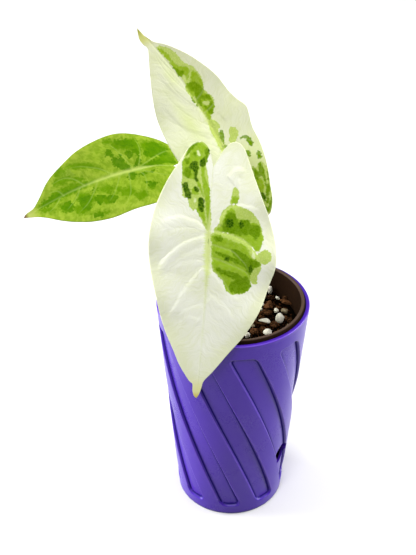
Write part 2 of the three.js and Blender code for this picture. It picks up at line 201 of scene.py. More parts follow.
def store(mesh: Mesh, name: str, values: Array) -> None:
    """Stores one number or one vector for each point of a mesh."""
    values = np.asarray(values, np.float32)
    kind, key = ("FLOAT", "value") if values.ndim == 1 else ("FLOAT_VECTOR", "vector")
    attribute = mesh.attributes.new(name, kind, "POINT")
    attribute.data.foreach_set(key, values.ravel())


def sharpen(mesh: Mesh, degrees: float) -> None:
    """Keeps edges crisp where two faces meet at more than an angle."""
    shape = bmesh.new()
    shape.from_mesh(mesh)
    for edge in shape.edges:
        edge.smooth = edge.calc_face_angle(0.0) < math.radians(degrees)
    shape.to_mesh(mesh)
    shape.free()


def skin(
    rings: Sequence[Array], first: Sequence[float], last: Sequence[float],
) -> tuple[Array, list]:
    """Joins rings of equal length into a closed skin.

    Args:
        rings: The rings, each running anticlockwise seen from the last one.
        first: The point that closes the first ring.
        last: The point that closes the last ring.

    Returns:
        The points and the faces.
    """
    count = len(rings[0])
    points = np.vstack([*rings, [first], [last]])
    after = [(j + 1) % count for j in range(count)]
    faces = []
    for low in range(0, (len(rings) - 1) * count, count):
        high = low + count
        faces += [(low + j, low + after[j], high + after[j], high + j) for j in range(count)]
    top, start, end = (len(rings) - 1) * count, len(points) - 2, len(points) - 1
    faces += [(start, after[j], j) for j in range(count)]
    faces += [(end, top + j, top + after[j]) for j in range(count)]
    return points, faces


def level(radius: Array | float, angle: Array, z: float) -> Array:
    """Returns points at one height from their distances and angles about the pots' axis."""
    return np.stack([radius * np.cos(angle), radius * np.sin(angle), np.full(len(angle), z)], axis=1)


def circle(radius: float, z: float, sides: int) -> Array:
    """Returns the points of a level circle about the pots' axis."""
    return level(radius, np.arange(sides) * math.tau / sides, z)


def arc(centre: Pair, radius: float, start: float, end: float, steps: int) -> list[Pair]:
    """Returns points on an arc of a profile, with angles in degrees from outward to up."""
    angles = np.radians(np.linspace(start, end, steps + 1))
    return [(centre[0] + radius * math.cos(a), centre[1] + radius * math.sin(a)) for a in angles]


def cut(obj: Object, cutters: Sequence[Object]) -> None:
    """Cuts closed shapes out of a closed mesh, and removes them."""
    for cutter in cutters:
        modifier = obj.modifiers.new("cut", "BOOLEAN")
        modifier.operation = "DIFFERENCE"
        modifier.solver = "MANIFOLD"
        modifier.object = cutter
    graph = bpy.context.evaluated_depsgraph_get()
    mesh = bpy.data.meshes.new_from_object(obj.evaluated_get(graph), depsgraph=graph)
    obj.modifiers.clear()
    obj.data = mesh
    for cutter in cutters:
        bpy.data.objects.remove(cutter)


def drill(radius: float, start: Triple, end: Triple, sides: int) -> Object:
    """Makes a round closed cutter between two points in millimetres."""
    axis = Vector(end) - Vector(start)
    turn = axis.to_track_quat("Z", "Y").to_matrix().to_4x4()
    shape = bmesh.new()
    place = Matrix.Translation((Vector(start) + axis / 2) * MM) @ turn
    bmesh.ops.create_cone(
        shape, cap_ends=True, segments=sides, radius1=radius * MM, radius2=radius * MM,
        depth=axis.length * MM, matrix=place,
    )
    mesh = bpy.data.meshes.new("drill")
    shape.to_mesh(mesh)
    shape.free()
    return linked("drill", mesh)


# Node trees

def srgb(red: float, green: float, blue: float) -> tuple[float, float, float, float]:
    """Turns a screen colour of 0 to 255 into a linear colour."""
    parts = [c / 255 for c in (red, green, blue)]
    linear = [c / 12.92 if c <= 0.04045 else ((c + 0.055) / 1.055) ** 2.4 for c in parts]
    return (*linear, 1.0)


class NodeSheet:
    """Places nodes in a tree and links them."""

    def __init__(self, tree: bpy.types.NodeTree) -> None:
        """Keeps the tree that the nodes go into."""
        self.tree = tree

    def add(self, kind: str, inputs: dict | None = None, **settings) -> bpy.types.Node:
        """Adds a node.

        Args:
            kind: The node's type.
            inputs: Values or sockets for its inputs, by name or number.
            **settings: The node's own settings.

        Returns:
            The node.
        """
        node = self.tree.nodes.new(kind)
        for name, value in settings.items():
            setattr(node, name, value)
        for name, value in (inputs or {}).items():
            self.feed(node.inputs[name], value)
        return node

    def output(self, kind: str, inputs: dict | None = None, **settings) -> Socket:
        """Adds a node and returns its first output."""
        return self.add(kind, inputs, **settings).outputs[0]

    def feed(self, socket: Socket, value: object) -> None:
        """Links a socket to an input, or sets the input's own value."""
        if isinstance(value, bpy.types.NodeSocket):
            self.tree.links.new(value, socket)
        else:
            socket.default_value = value


class ShaderSheet(NodeSheet):
    """Adds the few kinds of shader node that the finishes are made of."""

    def math(self, operation: str, first: object, second: object = 0.0) -> Socket:
        """Returns the result of an operation on two numbers."""
        return self.output("ShaderNodeMath", {0: first, 1: second}, operation=operation)

    def plus(self, first: object, second: object) -> Socket:
        """Returns the sum of two numbers."""
        return self.math("ADD", first, second)

    def minus(self, first: object, second: object) -> Socket:
        """Returns the first number less the second."""
        return self.math("SUBTRACT", first, second)

    def times(self, first: object, second: object) -> Socket:
        """Returns the product of two numbers."""
        return self.math("MULTIPLY", first, second)

    def mix(self, share: object, first: object, second: object) -> Socket:
        """Returns the first colour where share is 0 and the second where it is 1."""
        ends = [srgb(*end) if isinstance(end, tuple) else end for end in (first, second)]
        node = self.add("ShaderNodeMix", {0: share, 6: ends[0], 7: ends[1]}, data_type="RGBA")
        return node.outputs[2]

    def between(
        self, value: object, low: object, high: object, start: object = 0.0, end: object = 1.0,
    ) -> Socket:
        """Returns start where value is low and end where it is high, smoothly between them."""
        inputs = {"Value": value, "From Min": low, "From Max": high, "To Min": start, "To Max": end}
        return self.output("ShaderNodeMapRange", inputs, interpolation_type="SMOOTHSTEP")

    def noise(
        self, place: object, scale: object, detail: float = 2.0, stretch: Triple | None = None,
    ) -> Socket:
        """Returns cloudy noise, drawn out by the inverse of stretch where it is given."""
        if stretch:
            place = self.output("ShaderNodeVectorMath", {0: place, 1: stretch}, operation="MULTIPLY")
        return self.output("ShaderNodeTexNoise", {"Vector": place, "Scale": scale, "Detail": detail})

    def cells(self, place: object, scale: object, feature: str = "F1") -> Socket:
        """Returns the distance to the middle or the edge of irregular cells."""
        inputs = {"Vector": place, "Scale": scale}
        return self.add("ShaderNodeTexVoronoi", inputs, feature=feature).outputs["Distance"]

    def reading(self, name: str, vector: bool = False) -> Socket:
        """Returns an attribute of the mesh as a number or a vector."""
        node = self.add("ShaderNodeAttribute", attribute_name=name)
        return node.outputs["Vector" if vector else "Fac"]

    def part(self, place: Socket, axis: str) -> Socket:
        """Returns one number of a place."""
        return self.add("ShaderNodeSeparateXYZ", {0: place}).outputs[axis]

    def object_place(self) -> Socket:
        """Returns the place on the piece in millimetres."""
        place = self.add("ShaderNodeTexCoord").outputs["Object"]
        return self.output("ShaderNodeVectorMath", {0: place, 3: 1 / MM}, operation="SCALE")

    def effect(self, maker: Callable[[], bpy.types.NodeTree], inputs: dict[str, object]) -> Outputs:
        """Places a shared effect with its own values and returns its outputs."""
        return self.add("ShaderNodeGroup", inputs, node_tree=maker()).outputs


class SharedEffect:
    """A shader node group with named inputs and outputs, built once and placed in several finishes."""

    def __init__(self, name: str, inputs: dict[str, float | None], outputs: Sequence[str]) -> None:
        """Makes the group's sockets.

        Args:
            name: The group's name.
            inputs: The inputs with their usual values. A vector input's value is None.
            outputs: The names of the outputs, which are numbers.
        """
        self.tree = bpy.data.node_groups.new(name, "ShaderNodeTree")
        for label, value in inputs.items():
            kind = "NodeSocketVector" if value is None else "NodeSocketFloat"
            socket = self.tree.interface.new_socket(name=label, in_out="INPUT", socket_type=kind)
            if value is not None:
                socket.default_value = value
        for label in outputs:
            self.tree.interface.new_socket(name=label, in_out="OUTPUT", socket_type="NodeSocketFloat")
        self.sheet = ShaderSheet(self.tree)
        self.given = self.tree.nodes.new("NodeGroupInput").outputs
        self.result = self.tree.nodes.new("NodeGroupOutput").inputs


@cache
def grain_effect() -> bpy.types.NodeTree:
    """Fine grain: an even roughness and height variation for moulded and living surfaces."""
    inputs = {"Place": None, "Grain per mm": 2.0, "Smoothest": 0.3, "Roughest": 0.4}
    effect = SharedEffect("Fine grain", inputs, ("Roughness", "Height"))
    sheet, given = effect.sheet, effect.given
    fine = sheet.noise(given["Place"], given["Grain per mm"], 3.0)
    broad = sheet.noise(given["Place"], 0.06, 2.0)
    blend = sheet.plus(sheet.times(fine, 0.5), sheet.times(broad, 0.5))
    rough = sheet.between(blend, 0.3, 0.7, given["Smoothest"], given["Roughest"])
    sheet.feed(effect.result["Roughness"], rough)
    sheet.feed(effect.result["Height"], fine)
    return effect.tree


@cache
def patch_effect() -> bpy.types.NodeTree:
    """Ragged patch: turns a depth inside an outline into a patch with a scalloped edge."""
    inputs = {"Place": None, "Depth": 0.0, "Cell size": 2.0, "Ragged": 1.0, "Shift": 0.0, "Soft": 0.3}
    effect = SharedEffect("Ragged patch", inputs, ("Share",))
    sheet, given = effect.sheet, effect.given
    cells = sheet.cells(given["Place"], sheet.math("DIVIDE", 1.0, given["Cell size"]))
    fine = sheet.noise(given["Place"], sheet.math("DIVIDE", 1.6, given["Cell size"]), 3.0)
    bulge = sheet.minus(0.42, cells)
    waver = sheet.minus(fine, 0.5)
    sway = sheet.times(sheet.plus(bulge, waver), given["Ragged"])
    depth = sheet.plus(sheet.plus(given["Depth"], given["Shift"]), sway)
    low = sheet.times(given["Soft"], -1.0)
    sheet.feed(effect.result["Share"], sheet.between(depth, low, given["Soft"]))
    return effect.tree


@cache
def veinlet_effect() -> bpy.types.NodeTree:
    """Veinlets: the net of small veins that parts the leaf into cells."""
    effect = SharedEffect("Veinlets", {"Place": None, "Cell size": 2.2, "Width": 0.12}, ("Line",))
    sheet, given = effect.sheet, effect.given
    edge = sheet.cells(given["Place"], sheet.math("DIVIDE", 1.0, given["Cell size"]), "DISTANCE_TO_EDGE")
    sheet.feed(effect.result["Line"], sheet.between(edge, 0.0, given["Width"], 1.0, 0.0))
    return effect.tree


class FinishSheet(ShaderSheet):
    """A material with one Principled shader, which a finish feeds."""

    def __init__(self, name: str, constants: dict[str, object]) -> None:
        """Makes the material and sets the shader's even values."""
        self.material = bpy.data.materials.new(name)
        self.material.use_nodes = True
        super().__init__(self.material.node_tree)
        self.tree.nodes.clear()
        self.shader = self.add("ShaderNodeBsdfPrincipled", constants)
        self.add("ShaderNodeOutputMaterial", {"Surface": self.shader.outputs[0]})

    def grain(self, place: Socket, per_mm: float, smoothest: float, roughest: float) -> Outputs:
        """Places the fine grain.

        Args:
            place: The place on the piece in millimetres.
            per_mm: How fine the grain is.
            smoothest: The roughness where the grain is smoothest.
            roughest: The roughness where it is roughest.

        Returns:
            The grain's roughness and height.
        """
        inputs = {"Place": place, "Grain per mm": per_mm, "Smoothest": smoothest, "Roughest": roughest}
        return self.effect(grain_effect, inputs)

    def bump(self, height: Socket, depth: float, strength: float) -> None:
        """Feeds a relief with a depth in millimetres to the shader's normal."""
        inputs = {"Height": height, "Distance": depth * MM, "Strength": strength}
        node = self.add("ShaderNodeBump", inputs)
        self.feed(self.shader.inputs["Normal"], node.outputs["Normal"])

    def paint(self, colour: Socket, roughness: Socket | None = None) -> None:
        """Feeds the shader's colour and roughness."""
        self.feed(self.shader.inputs["Base Color"], colour)
        if roughness is not None:
            self.feed(self.shader.inputs["Roughness"], roughness)


# Finishes

@dataclass(frozen=True)
class MouldedPlastic:
    """Satin or matte moulded plastic with a faint grain, a little colour drift, painted shade in its creases
    and painted highlights on its edges.
    """

    name: str
    colour: Triple
    shade: Triple
    smoothest: float
    roughest: float
    grain_depth: float = 0.006
    grain_per_mm: float = 2.5
    # The colours of the painted shade and of the painted highlight, laid where the piece's attributes mark them
    crease: Triple = (0, 0, 0)
    edge: Triple = (255, 255, 255)
    shine: float = 0.4

    def material(self) -> Material:
        """Builds the material."""
        sheet = FinishSheet(self.name, {"Specular IOR Level": self.shine})
        place = sheet.object_place()
        grain = sheet.grain(place, self.grain_per_mm, self.smoothest, self.roughest)
        drift = sheet.between(sheet.noise(place, 0.02, 1.0), 0.25, 0.75)
        colour = sheet.mix(drift, self.colour, self.shade)
        # Painted shade where the piece marks creases, then a painted highlight where it marks edges; the
        # painted shade mask also raises the roughness
        colour = sheet.mix(sheet.reading("crease"), colour, self.crease)
        colour = sheet.mix(sheet.reading("edge"), colour, self.edge)
        sheet.paint(colour, sheet.math("MAXIMUM", grain["Roughness"], sheet.reading("crease")))
        sheet.bump(grain["Height"], self.grain_depth, 0.5)
        return sheet.material


class Tone(Enum):
    """Which field of a blade a marking belongs to: a wash, four greens, and the bare gaps in them."""

    WASH = "wash_patch"
    PALE = "pale_patch"
    MID = "mid_patch"
    DARK = "dark_patch"
    DEEP = "deep_patch"
    BARE = "bare_patch"


# Each green with how ragged its edge is and how much of it fades in the colour drift
GREEN_LAYERS = ((Tone.PALE, 0.9, 0.04), (Tone.MID, 1.2, 0.18), (Tone.DARK, 1.2, 0.2), (Tone.DEEP, 0.8, 0.05))


@dataclass(frozen=True)
class BladeSkin:
    """The skin of a variegated leaf: its ground, four greens laid over it, pale veins, margin and tip."""

    name: str
    ground: Triple
    ground_warm: Triple
    greens: tuple[Triple, Triple, Triple, Triple]
    vein: Triple
    underside: Triple
    tip: Triple
    point: Triple
    tip_reach: tuple[float, float, float]
    midrib: Triple = (206, 220, 128)
    mottle: float = 0.0
    cell: float = 1.5
    ragged: float = 1.0
    soft: float = 0.2
    mid_soft: float = 0.0
    vein_share: float = 0.26
    bare_vein: float = 0.3
    net_share: float = 0.3
    rim_warmth: float = 0.5
    gap: Triple = (214, 226, 166)
    margin: Triple = (226, 230, 186)
    feather: Triple = (208, 224, 130)

    def material(self) -> Material:
        """Builds the material from the blade's own places and fields."""
        sheet = FinishSheet(self.name, {"Specular IOR Level": 0.02})
        place = sheet.reading("leaf_place", vector=True)
        ground = self._ground(sheet, place)
        colour, green = self._greens(sheet, place, ground)
        colour = self._veins(sheet, place, colour, green)
        colour = self._ends(sheet, place, colour)
        under = sheet.times(sheet.reading("underside"), 0.6)
        colour = sheet.mix(under, colour, self.underside)
        grain = sheet.grain(place, 1.3, 0.38, 0.5)
        sheet.paint(colour, grain["Roughness"])
        fine = sheet.times(grain["Height"], 0.15)
        sheet.bump(sheet.plus(fine, self._slanted(sheet, place, 0.4)), 0.3, 0.8)
        return sheet.material

    def _slanted(self, sheet: FinishSheet, place: Socket, per_mm: float) -> Socket:
        """Returns a grain drawn out along the side veins, which leave the midrib at a slant."""
        split = sheet.add("ShaderNodeSeparateXYZ", {0: place}).outputs
        across = sheet.times(sheet.math("ABSOLUTE", split["Y"], 0.0), 0.8)
        wander = sheet.times(sheet.noise(place, 0.11, 2.0), 16.0)
        along = sheet.minus(sheet.math("ABSOLUTE", split["X"], 0.0), sheet.plus(across, wander))
        drawn = {"X": along, "Y": sheet.times(split["Y"], 0.3)}
        return sheet.noise(sheet.output("ShaderNodeCombineXYZ", drawn), per_mm, 3.0)

    def _ground(self, sheet: FinishSheet, place: Socket) -> Socket:
        """Returns the leaf's palest colour, with a broad warm drift, faint flecks and a green feathering."""
        broad = sheet.between(sheet.noise(place, 0.05, 3.0), 0.35, 0.68)
        streak = sheet.between(self._slanted(sheet, place, 0.6), 0.38, 0.7)
        share = sheet.plus(sheet.times(broad, 0.4), sheet.times(streak, 0.3))
        rim = sheet.between(sheet.reading("margin"), 1.0, 9.0, self.rim_warmth, 0.0)
        share = sheet.between(sheet.plus(share, rim), 0.0, 1.0)
        colour = sheet.mix(share, self.ground, self.ground_warm)
        barbs = sheet.noise(place, 1.0, 3.0, (1.6, 0.25, 1.0))
        near = sheet.between(sheet.plus(sheet.reading("midrib_wide"), barbs), 0.62, 1.15)
        wash = sheet.between(sheet.plus(sheet.reading("wash_patch"), broad), -3.0, 6.0, 0.0, 0.7)
        near = sheet.math("MAXIMUM", near, wash)
        return sheet.mix(sheet.times(near, 0.8), colour, self.feather)

    def _greens(self, sheet: FinishSheet, place: Socket, ground: Socket) -> tuple[Socket, Socket]:
        """Lays the greens over the ground, from the palest to the deepest, and the pale gaps in them."""
        drift = sheet.between(sheet.noise(place, 0.45, 5.0), 0.38, 0.64)
        colour, green, soft = ground, None, self.soft
        for (tone, ragged, veil), paint in zip(GREEN_LAYERS, self.greens):
            share = sheet.effect(patch_effect, {
                "Place": place, "Depth": sheet.reading(tone.value), "Cell size": self.cell,
                "Ragged": ragged * self.ragged, "Shift": 0.3,
                "Soft": sheet.plus(soft, self.mid_soft) if tone is Tone.MID else soft,
            })[0]
            cloud = sheet.times(share, sheet.minus(1.0, sheet.times(drift, veil)))
            colour = sheet.mix(cloud, colour, paint)
            green = share if green is None else sheet.math("MAXIMUM", green, share)
            soft = sheet.plus(sheet.times(green, 0.25), self.soft)
        if self.mottle:
            streaks = sheet.times(self._slanted(sheet, place, 0.6), 0.5)
            cover = sheet.plus(sheet.noise(place, 0.3, 5.0), streaks)
            cloud = sheet.between(cover, 0.6, 0.88, self.mottle, 0.0)
            colour = sheet.mix(cloud, colour, self.greens[1])
        bare = sheet.effect(patch_effect, {
            "Place": place, "Depth": sheet.reading("bare_patch"), "Cell size": 1.2, "Ragged": 0.7, "Soft": 0.4,
        })[0]
        return sheet.mix(bare, colour, self.gap), sheet.minus(green, sheet.times(green, bare))

    def _veins(self, sheet: FinishSheet, place: Socket, colour: Socket, green: Socket) -> Socket:
        """Draws the veinlets over the greens and the pale veins over everything."""
        net = sheet.effect(veinlet_effect, {"Place": place, "Cell size": 1.3, "Width": 0.2})[0]
        share = sheet.times(sheet.times(net, green), self.net_share)
        colour = sheet.mix(share, colour, self.greens[1])
        strong = sheet.plus(sheet.times(green, 1 - self.bare_vein), self.bare_vein)
        share = sheet.times(sheet.times(sheet.reading("vein"), strong), self.vein_share)
        colour = sheet.mix(share, colour, self.vein)
        along = sheet.part(place, "X")
        share = sheet.times(sheet.reading("midrib"), sheet.between(along, 18.0, 50.0, 0.8, 0.4))
        return sheet.mix(share, colour, self.midrib)

    def _ends(self, sheet: FinishSheet, place: Socket, colour: Socket) -> Socket:
        """Colours the thin margin and the dried end of the tip."""
        edge = sheet.between(sheet.reading("margin"), 0.15, 0.7, 0.5, 0.0)
        colour = sheet.mix(edge, colour, self.margin)
        along = sheet.part(place, "X")
        start, middle, end = self.tip_reach
        colour = sheet.mix(sheet.between(along, start, middle), colour, self.tip)
        return sheet.mix(sheet.between(along, middle, end), colour, self.point)


@dataclass(frozen=True)
class StalkSkin:
    """The skin of a stalk or stem: pale green with long streaks and a warmer foot."""

    name: str
    colour: Triple
    streak: Triple
    foot: Triple
    foot_top: float
    along: Triple = (0.9, 0.9, 0.05)

    def material(self) -> Material:
        """Builds the material."""
        constants = {
            "Subsurface Weight": 0.15, "Subsurface Radius": (0.8, 1.0, 0.4), "Subsurface Scale": 0.0015,
        }
        sheet = FinishSheet(self.name, constants)
        place = sheet.object_place()
        streaks = sheet.between(sheet.noise(place, 1.0, 4.0, self.along), 0.42, 0.66)
        colour = sheet.mix(streaks, self.colour, self.streak)
        height = sheet.part(place, "Z")
        wander = sheet.times(sheet.noise(place, 0.3, 3.0), 8.0)
        low = sheet.between(sheet.plus(height, wander), self.foot_top - 6, self.foot_top + 10, 1.0, 0.0)
        colour = sheet.mix(sheet.times(low, 0.85), colour, self.foot)
        grain = sheet.grain(place, 1.2, 0.38, 0.55)
        sheet.paint(colour, grain["Roughness"])
        sheet.bump(sheet.plus(grain["Height"], streaks), 0.08, 0.6)
        return sheet.material


@dataclass(frozen=True)
class LumpSkin:
    """The skin of a lump of bark, perlite or stone, varied from lump to lump by a stored tone, lowered as
    painted shade on the bark lumps in the wall's shadow.
    """

    name: str
    dark: Triple
    light: Triple
    dust: Triple
    dust_share: float
    roughness: float
    fibre: Triple = (1.0, 1.0, 1.0)
    relief: float = 0.35
    shine: float = 0.08

    def material(self) -> Material:
        """Builds the material on each lump's own grain."""
        sheet = FinishSheet(self.name, {"Roughness": self.roughness, "Specular IOR Level": self.shine})
        grain = sheet.reading("grain", vector=True)
        fibres = sheet.noise(grain, 1.0, 5.0, self.fibre)
        # Each lump's stored tone; on the shown bark lumps at the back, near the nursery pot's wall, it is
        # lowered as painted shade
        tint = sheet.reading("tint")
        share = sheet.plus(sheet.times(tint, 0.65), sheet.between(fibres, 0.35, 0.7, -0.1, 0.45))
        share = sheet.between(share, 0.0, 1.0)
        colour = sheet.mix(share, self.dark, self.light)
        pits = sheet.between(sheet.noise(grain, 1.3, 3.0), 0.55, 0.75)
        colour = sheet.mix(sheet.times(pits, self.dust_share), colour, self.dust)
        sheet.paint(colour)
        sheet.bump(fibres, self.relief, 0.9)
        return sheet.material


@dataclass(frozen=True)
class StudioFloor:
    """A plain pale floor with a faint drift of tone."""

    name: str = "studio_floor"
    colour: Triple = (225, 225, 225)
    shade: Triple = (221, 221, 221)

    def material(self) -> Material:
        """Builds the material."""
        sheet = FinishSheet(self.name, {"Roughness": 0.7, "Specular IOR Level": 0.2})
        place = sheet.object_place()
        drift = sheet.noise(place, 0.004, 2.0)
        sheet.paint(sheet.mix(drift, self.colour, self.shade))
        return sheet.material


# Geometry Nodes

class GrowthTree(NodeSheet):
    """A Geometry Nodes tree with named inputs, whose result becomes a plain mesh."""

    def __init__(self, name: str, inputs: dict[str, str]) -> None:
        """Makes the tree and its sockets.

        Args:
            name: The tree's name.
            inputs: The inputs after the geometry, each with its kind of socket.
        """
        super().__init__(bpy.data.node_groups.new(name, "GeometryNodeTree"))
        sockets = self.tree.interface
        sockets.new_socket(name="Geometry", in_out="INPUT", socket_type="NodeSocketGeometry")
        for label, kind in inputs.items():
            sockets.new_socket(name=label, in_out="INPUT", socket_type=f"NodeSocket{kind}")
        sockets.new_socket(name="Geometry", in_out="OUTPUT", socket_type="NodeSocketGeometry")
        self.given = self.tree.nodes.new("NodeGroupInput").outputs
        self.result = self.tree.nodes.new("NodeGroupOutput").inputs

    def finish(self, geometry: Socket) -> None:
        """Ends the tree in realised geometry with its finish set."""
        real = self.output("GeometryNodeRealizeInstances", {"Geometry": geometry})
        smooth = self.output("GeometryNodeSetShadeSmooth", {"Geometry": real})
        inputs = {"Geometry": smooth, "Material": self.given["Finish"]}
        self.feed(self.result[0], self.output("GeometryNodeSetMaterial", inputs))

    def grow(self, carrier: Object, name: str, values: dict[str, object]) -> Object:
        """Runs the tree on a carrier and keeps the result as a plain mesh.

        Args:
            carrier: The object whose mesh the tree starts from, which is removed.
            name: The new piece's name.
            values: The values of the tree's inputs, by name.

        Returns:
            The new piece.
        """
        modifier = carrier.modifiers.new(self.tree.name, "NODES")
        modifier.node_group = self.tree
        for item in self.tree.interface.items_tree:
            if item.in_out == "INPUT" and item.name in values:
                modifier[item.identifier] = values[item.name]
        graph = bpy.context.evaluated_depsgraph_get()
        mesh = bpy.data.meshes.new_from_object(
            carrier.evaluated_get(graph), preserve_all_data_layers=True, depsgraph=graph
        )
        carrier.modifiers.remove(modifier)
        bpy.data.objects.remove(carrier)
        mesh.name = name
        if mesh.materials and mesh.materials[0] is None:
            mesh.materials.pop(index=0)
        return linked(name, mesh)


def round_repeat_tree() -> GrowthTree:
    """Repeats a sector about the upright axis and joins the copies along their edges."""
    tree = GrowthTree("Sectors round the axis", {
        "Count": "Int", "Step": "Float", "Join gap": "Float", "Finish": "Material",
    })
    given = tree.given
    spots = tree.output("GeometryNodePoints", {"Count": given["Count"]})
    turn = tree.output("ShaderNodeMath", {
        0: tree.output("GeometryNodeInputIndex"), 1: given["Step"],
    }, operation="MULTIPLY")
    rotation = tree.output("ShaderNodeCombineXYZ", {"Z": turn})
    copies = tree.output("GeometryNodeInstanceOnPoints", {
        "Points": spots, "Instance": given["Geometry"], "Rotation": rotation,
    })
    real = tree.output("GeometryNodeRealizeInstances", {"Geometry": copies})
    joined = tree.output("GeometryNodeMergeByDistance", {"Geometry": real, "Distance": given["Join gap"]})
    tree.finish(joined)
    return tree


def stalk_tree() -> GrowthTree:
    """Grows a tapering round stalk along a line whose points store their rise from 0 to 1."""
    tree = GrowthTree("Tapering stalk", {
        "Foot radius": "Float", "Top radius": "Float", "Taper": "Float", "Sides": "Int", "Finish": "Material",
    })
    given = tree.given
    line = tree.output("GeometryNodeMeshToCurve", {"Mesh": given["Geometry"]})
    rise = tree.output("GeometryNodeInputNamedAttribute", {"Name": "rise"}, data_type="FLOAT")
    left = tree.output("ShaderNodeMath", {0: 1.0, 1: rise}, operation="SUBTRACT")
    share = tree.output("ShaderNodeMath", {0: left, 1: given["Taper"]}, operation="POWER")
    radius = tree.output("ShaderNodeMapRange", {
        "Value": share, "To Min": given["Top radius"], "To Max": given["Foot radius"],
    })
    ring = tree.output("GeometryNodeCurvePrimitiveCircle", {
        "Resolution": given["Sides"], "Radius": 1.0,
    }, mode="RADIUS")
    tube = tree.output("GeometryNodeCurveToMesh", {
        "Curve": line, "Profile Curve": ring, "Scale": radius, "Fill Caps": True,
    })
    tree.finish(tube)
    return tree


def strewn_tree() -> GrowthTree:
    """Strews lumps of a collection over the open ground of a bed, each with its own turn, size and random tone.
    """
    tree = GrowthTree("Strewn lumps", {
        "Lumps": "Collection", "Ground": "String", "Spacing": "Float", "Density": "Float", "Seed": "Int",
        "Smallest": "Float", "Largest": "Float", "Tilt": "Float", "Lift": "Float", "Finish": "Material",
    })
    given = tree.given
    ground = {"Name": given["Ground"]}
    open_ground = tree.output("GeometryNodeInputNamedAttribute", ground, data_type="FLOAT")
    spread = tree.output("GeometryNodeDistributePointsOnFaces", {
        "Mesh": given["Geometry"], "Distance Min": given["Spacing"],
        "Density Max": given["Density"], "Density Factor": open_ground, "Seed": given["Seed"],
    }, distribute_method="POISSON")
    lift = tree.output("ShaderNodeCombineXYZ", {"Z": given["Lift"]})
    points = tree.output("GeometryNodeSetPosition", {"Geometry": spread, "Offset": lift})
    picks = tree.output("GeometryNodeCollectionInfo", {
        "Collection": given["Lumps"], "Separate Children": True, "Reset Children": True,
    })
    lean = tree.output("ShaderNodeMath", {0: given["Tilt"], 1: -1.0}, operation="MULTIPLY")
    turn = tree.output("FunctionNodeRandomValue", {
        "Min": tree.output("ShaderNodeCombineXYZ", {"X": lean, "Y": lean}),
        "Max": tree.output("ShaderNodeCombineXYZ", {
            "X": given["Tilt"], "Y": given["Tilt"], "Z": math.tau,
        }),
        "Seed": given["Seed"],
    }, data_type="FLOAT_VECTOR")
    size = tree.add("FunctionNodeRandomValue", {
        2: given["Smallest"], 3: given["Largest"], "Seed": given["Seed"],
    }, data_type="FLOAT").outputs[1]
    copies = tree.output("GeometryNodeInstanceOnPoints", {
        "Points": points, "Instance": picks, "Pick Instance": True, "Rotation": turn, "Scale": size,
    })
    tint = tree.add("FunctionNodeRandomValue", {"Seed": 5}, data_type="FLOAT").outputs[1]
    tinted = tree.output("GeometryNodeStoreNamedAttribute", {
        "Geometry": copies, "Name": "tint", "Value": tint,
    }, data_type="FLOAT", domain="INSTANCE")
    tree.finish(tinted)
    return tree


# Pieces

def settle(piece: Object, slot: str, *nodes: str) -> None:
    """Fixes a finished piece to the body and hides the solids that it stands for.

    Args:
        piece: The finished piece.
        slot: The record's material slot; not used.
        *nodes: The solids that the piece replaces.
    """
    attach(piece, BODY)
    if nodes:
        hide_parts(*nodes)
    piece.data.calc_loop_triangles()
    LOG.info("%s: %d triangles", piece.name, len(piece.data.loop_triangles))


def dress(piece: Object, material: Material) -> None:
    """Gives a piece its one material."""
    piece.data.materials.clear()
    piece.data.materials.append(material)


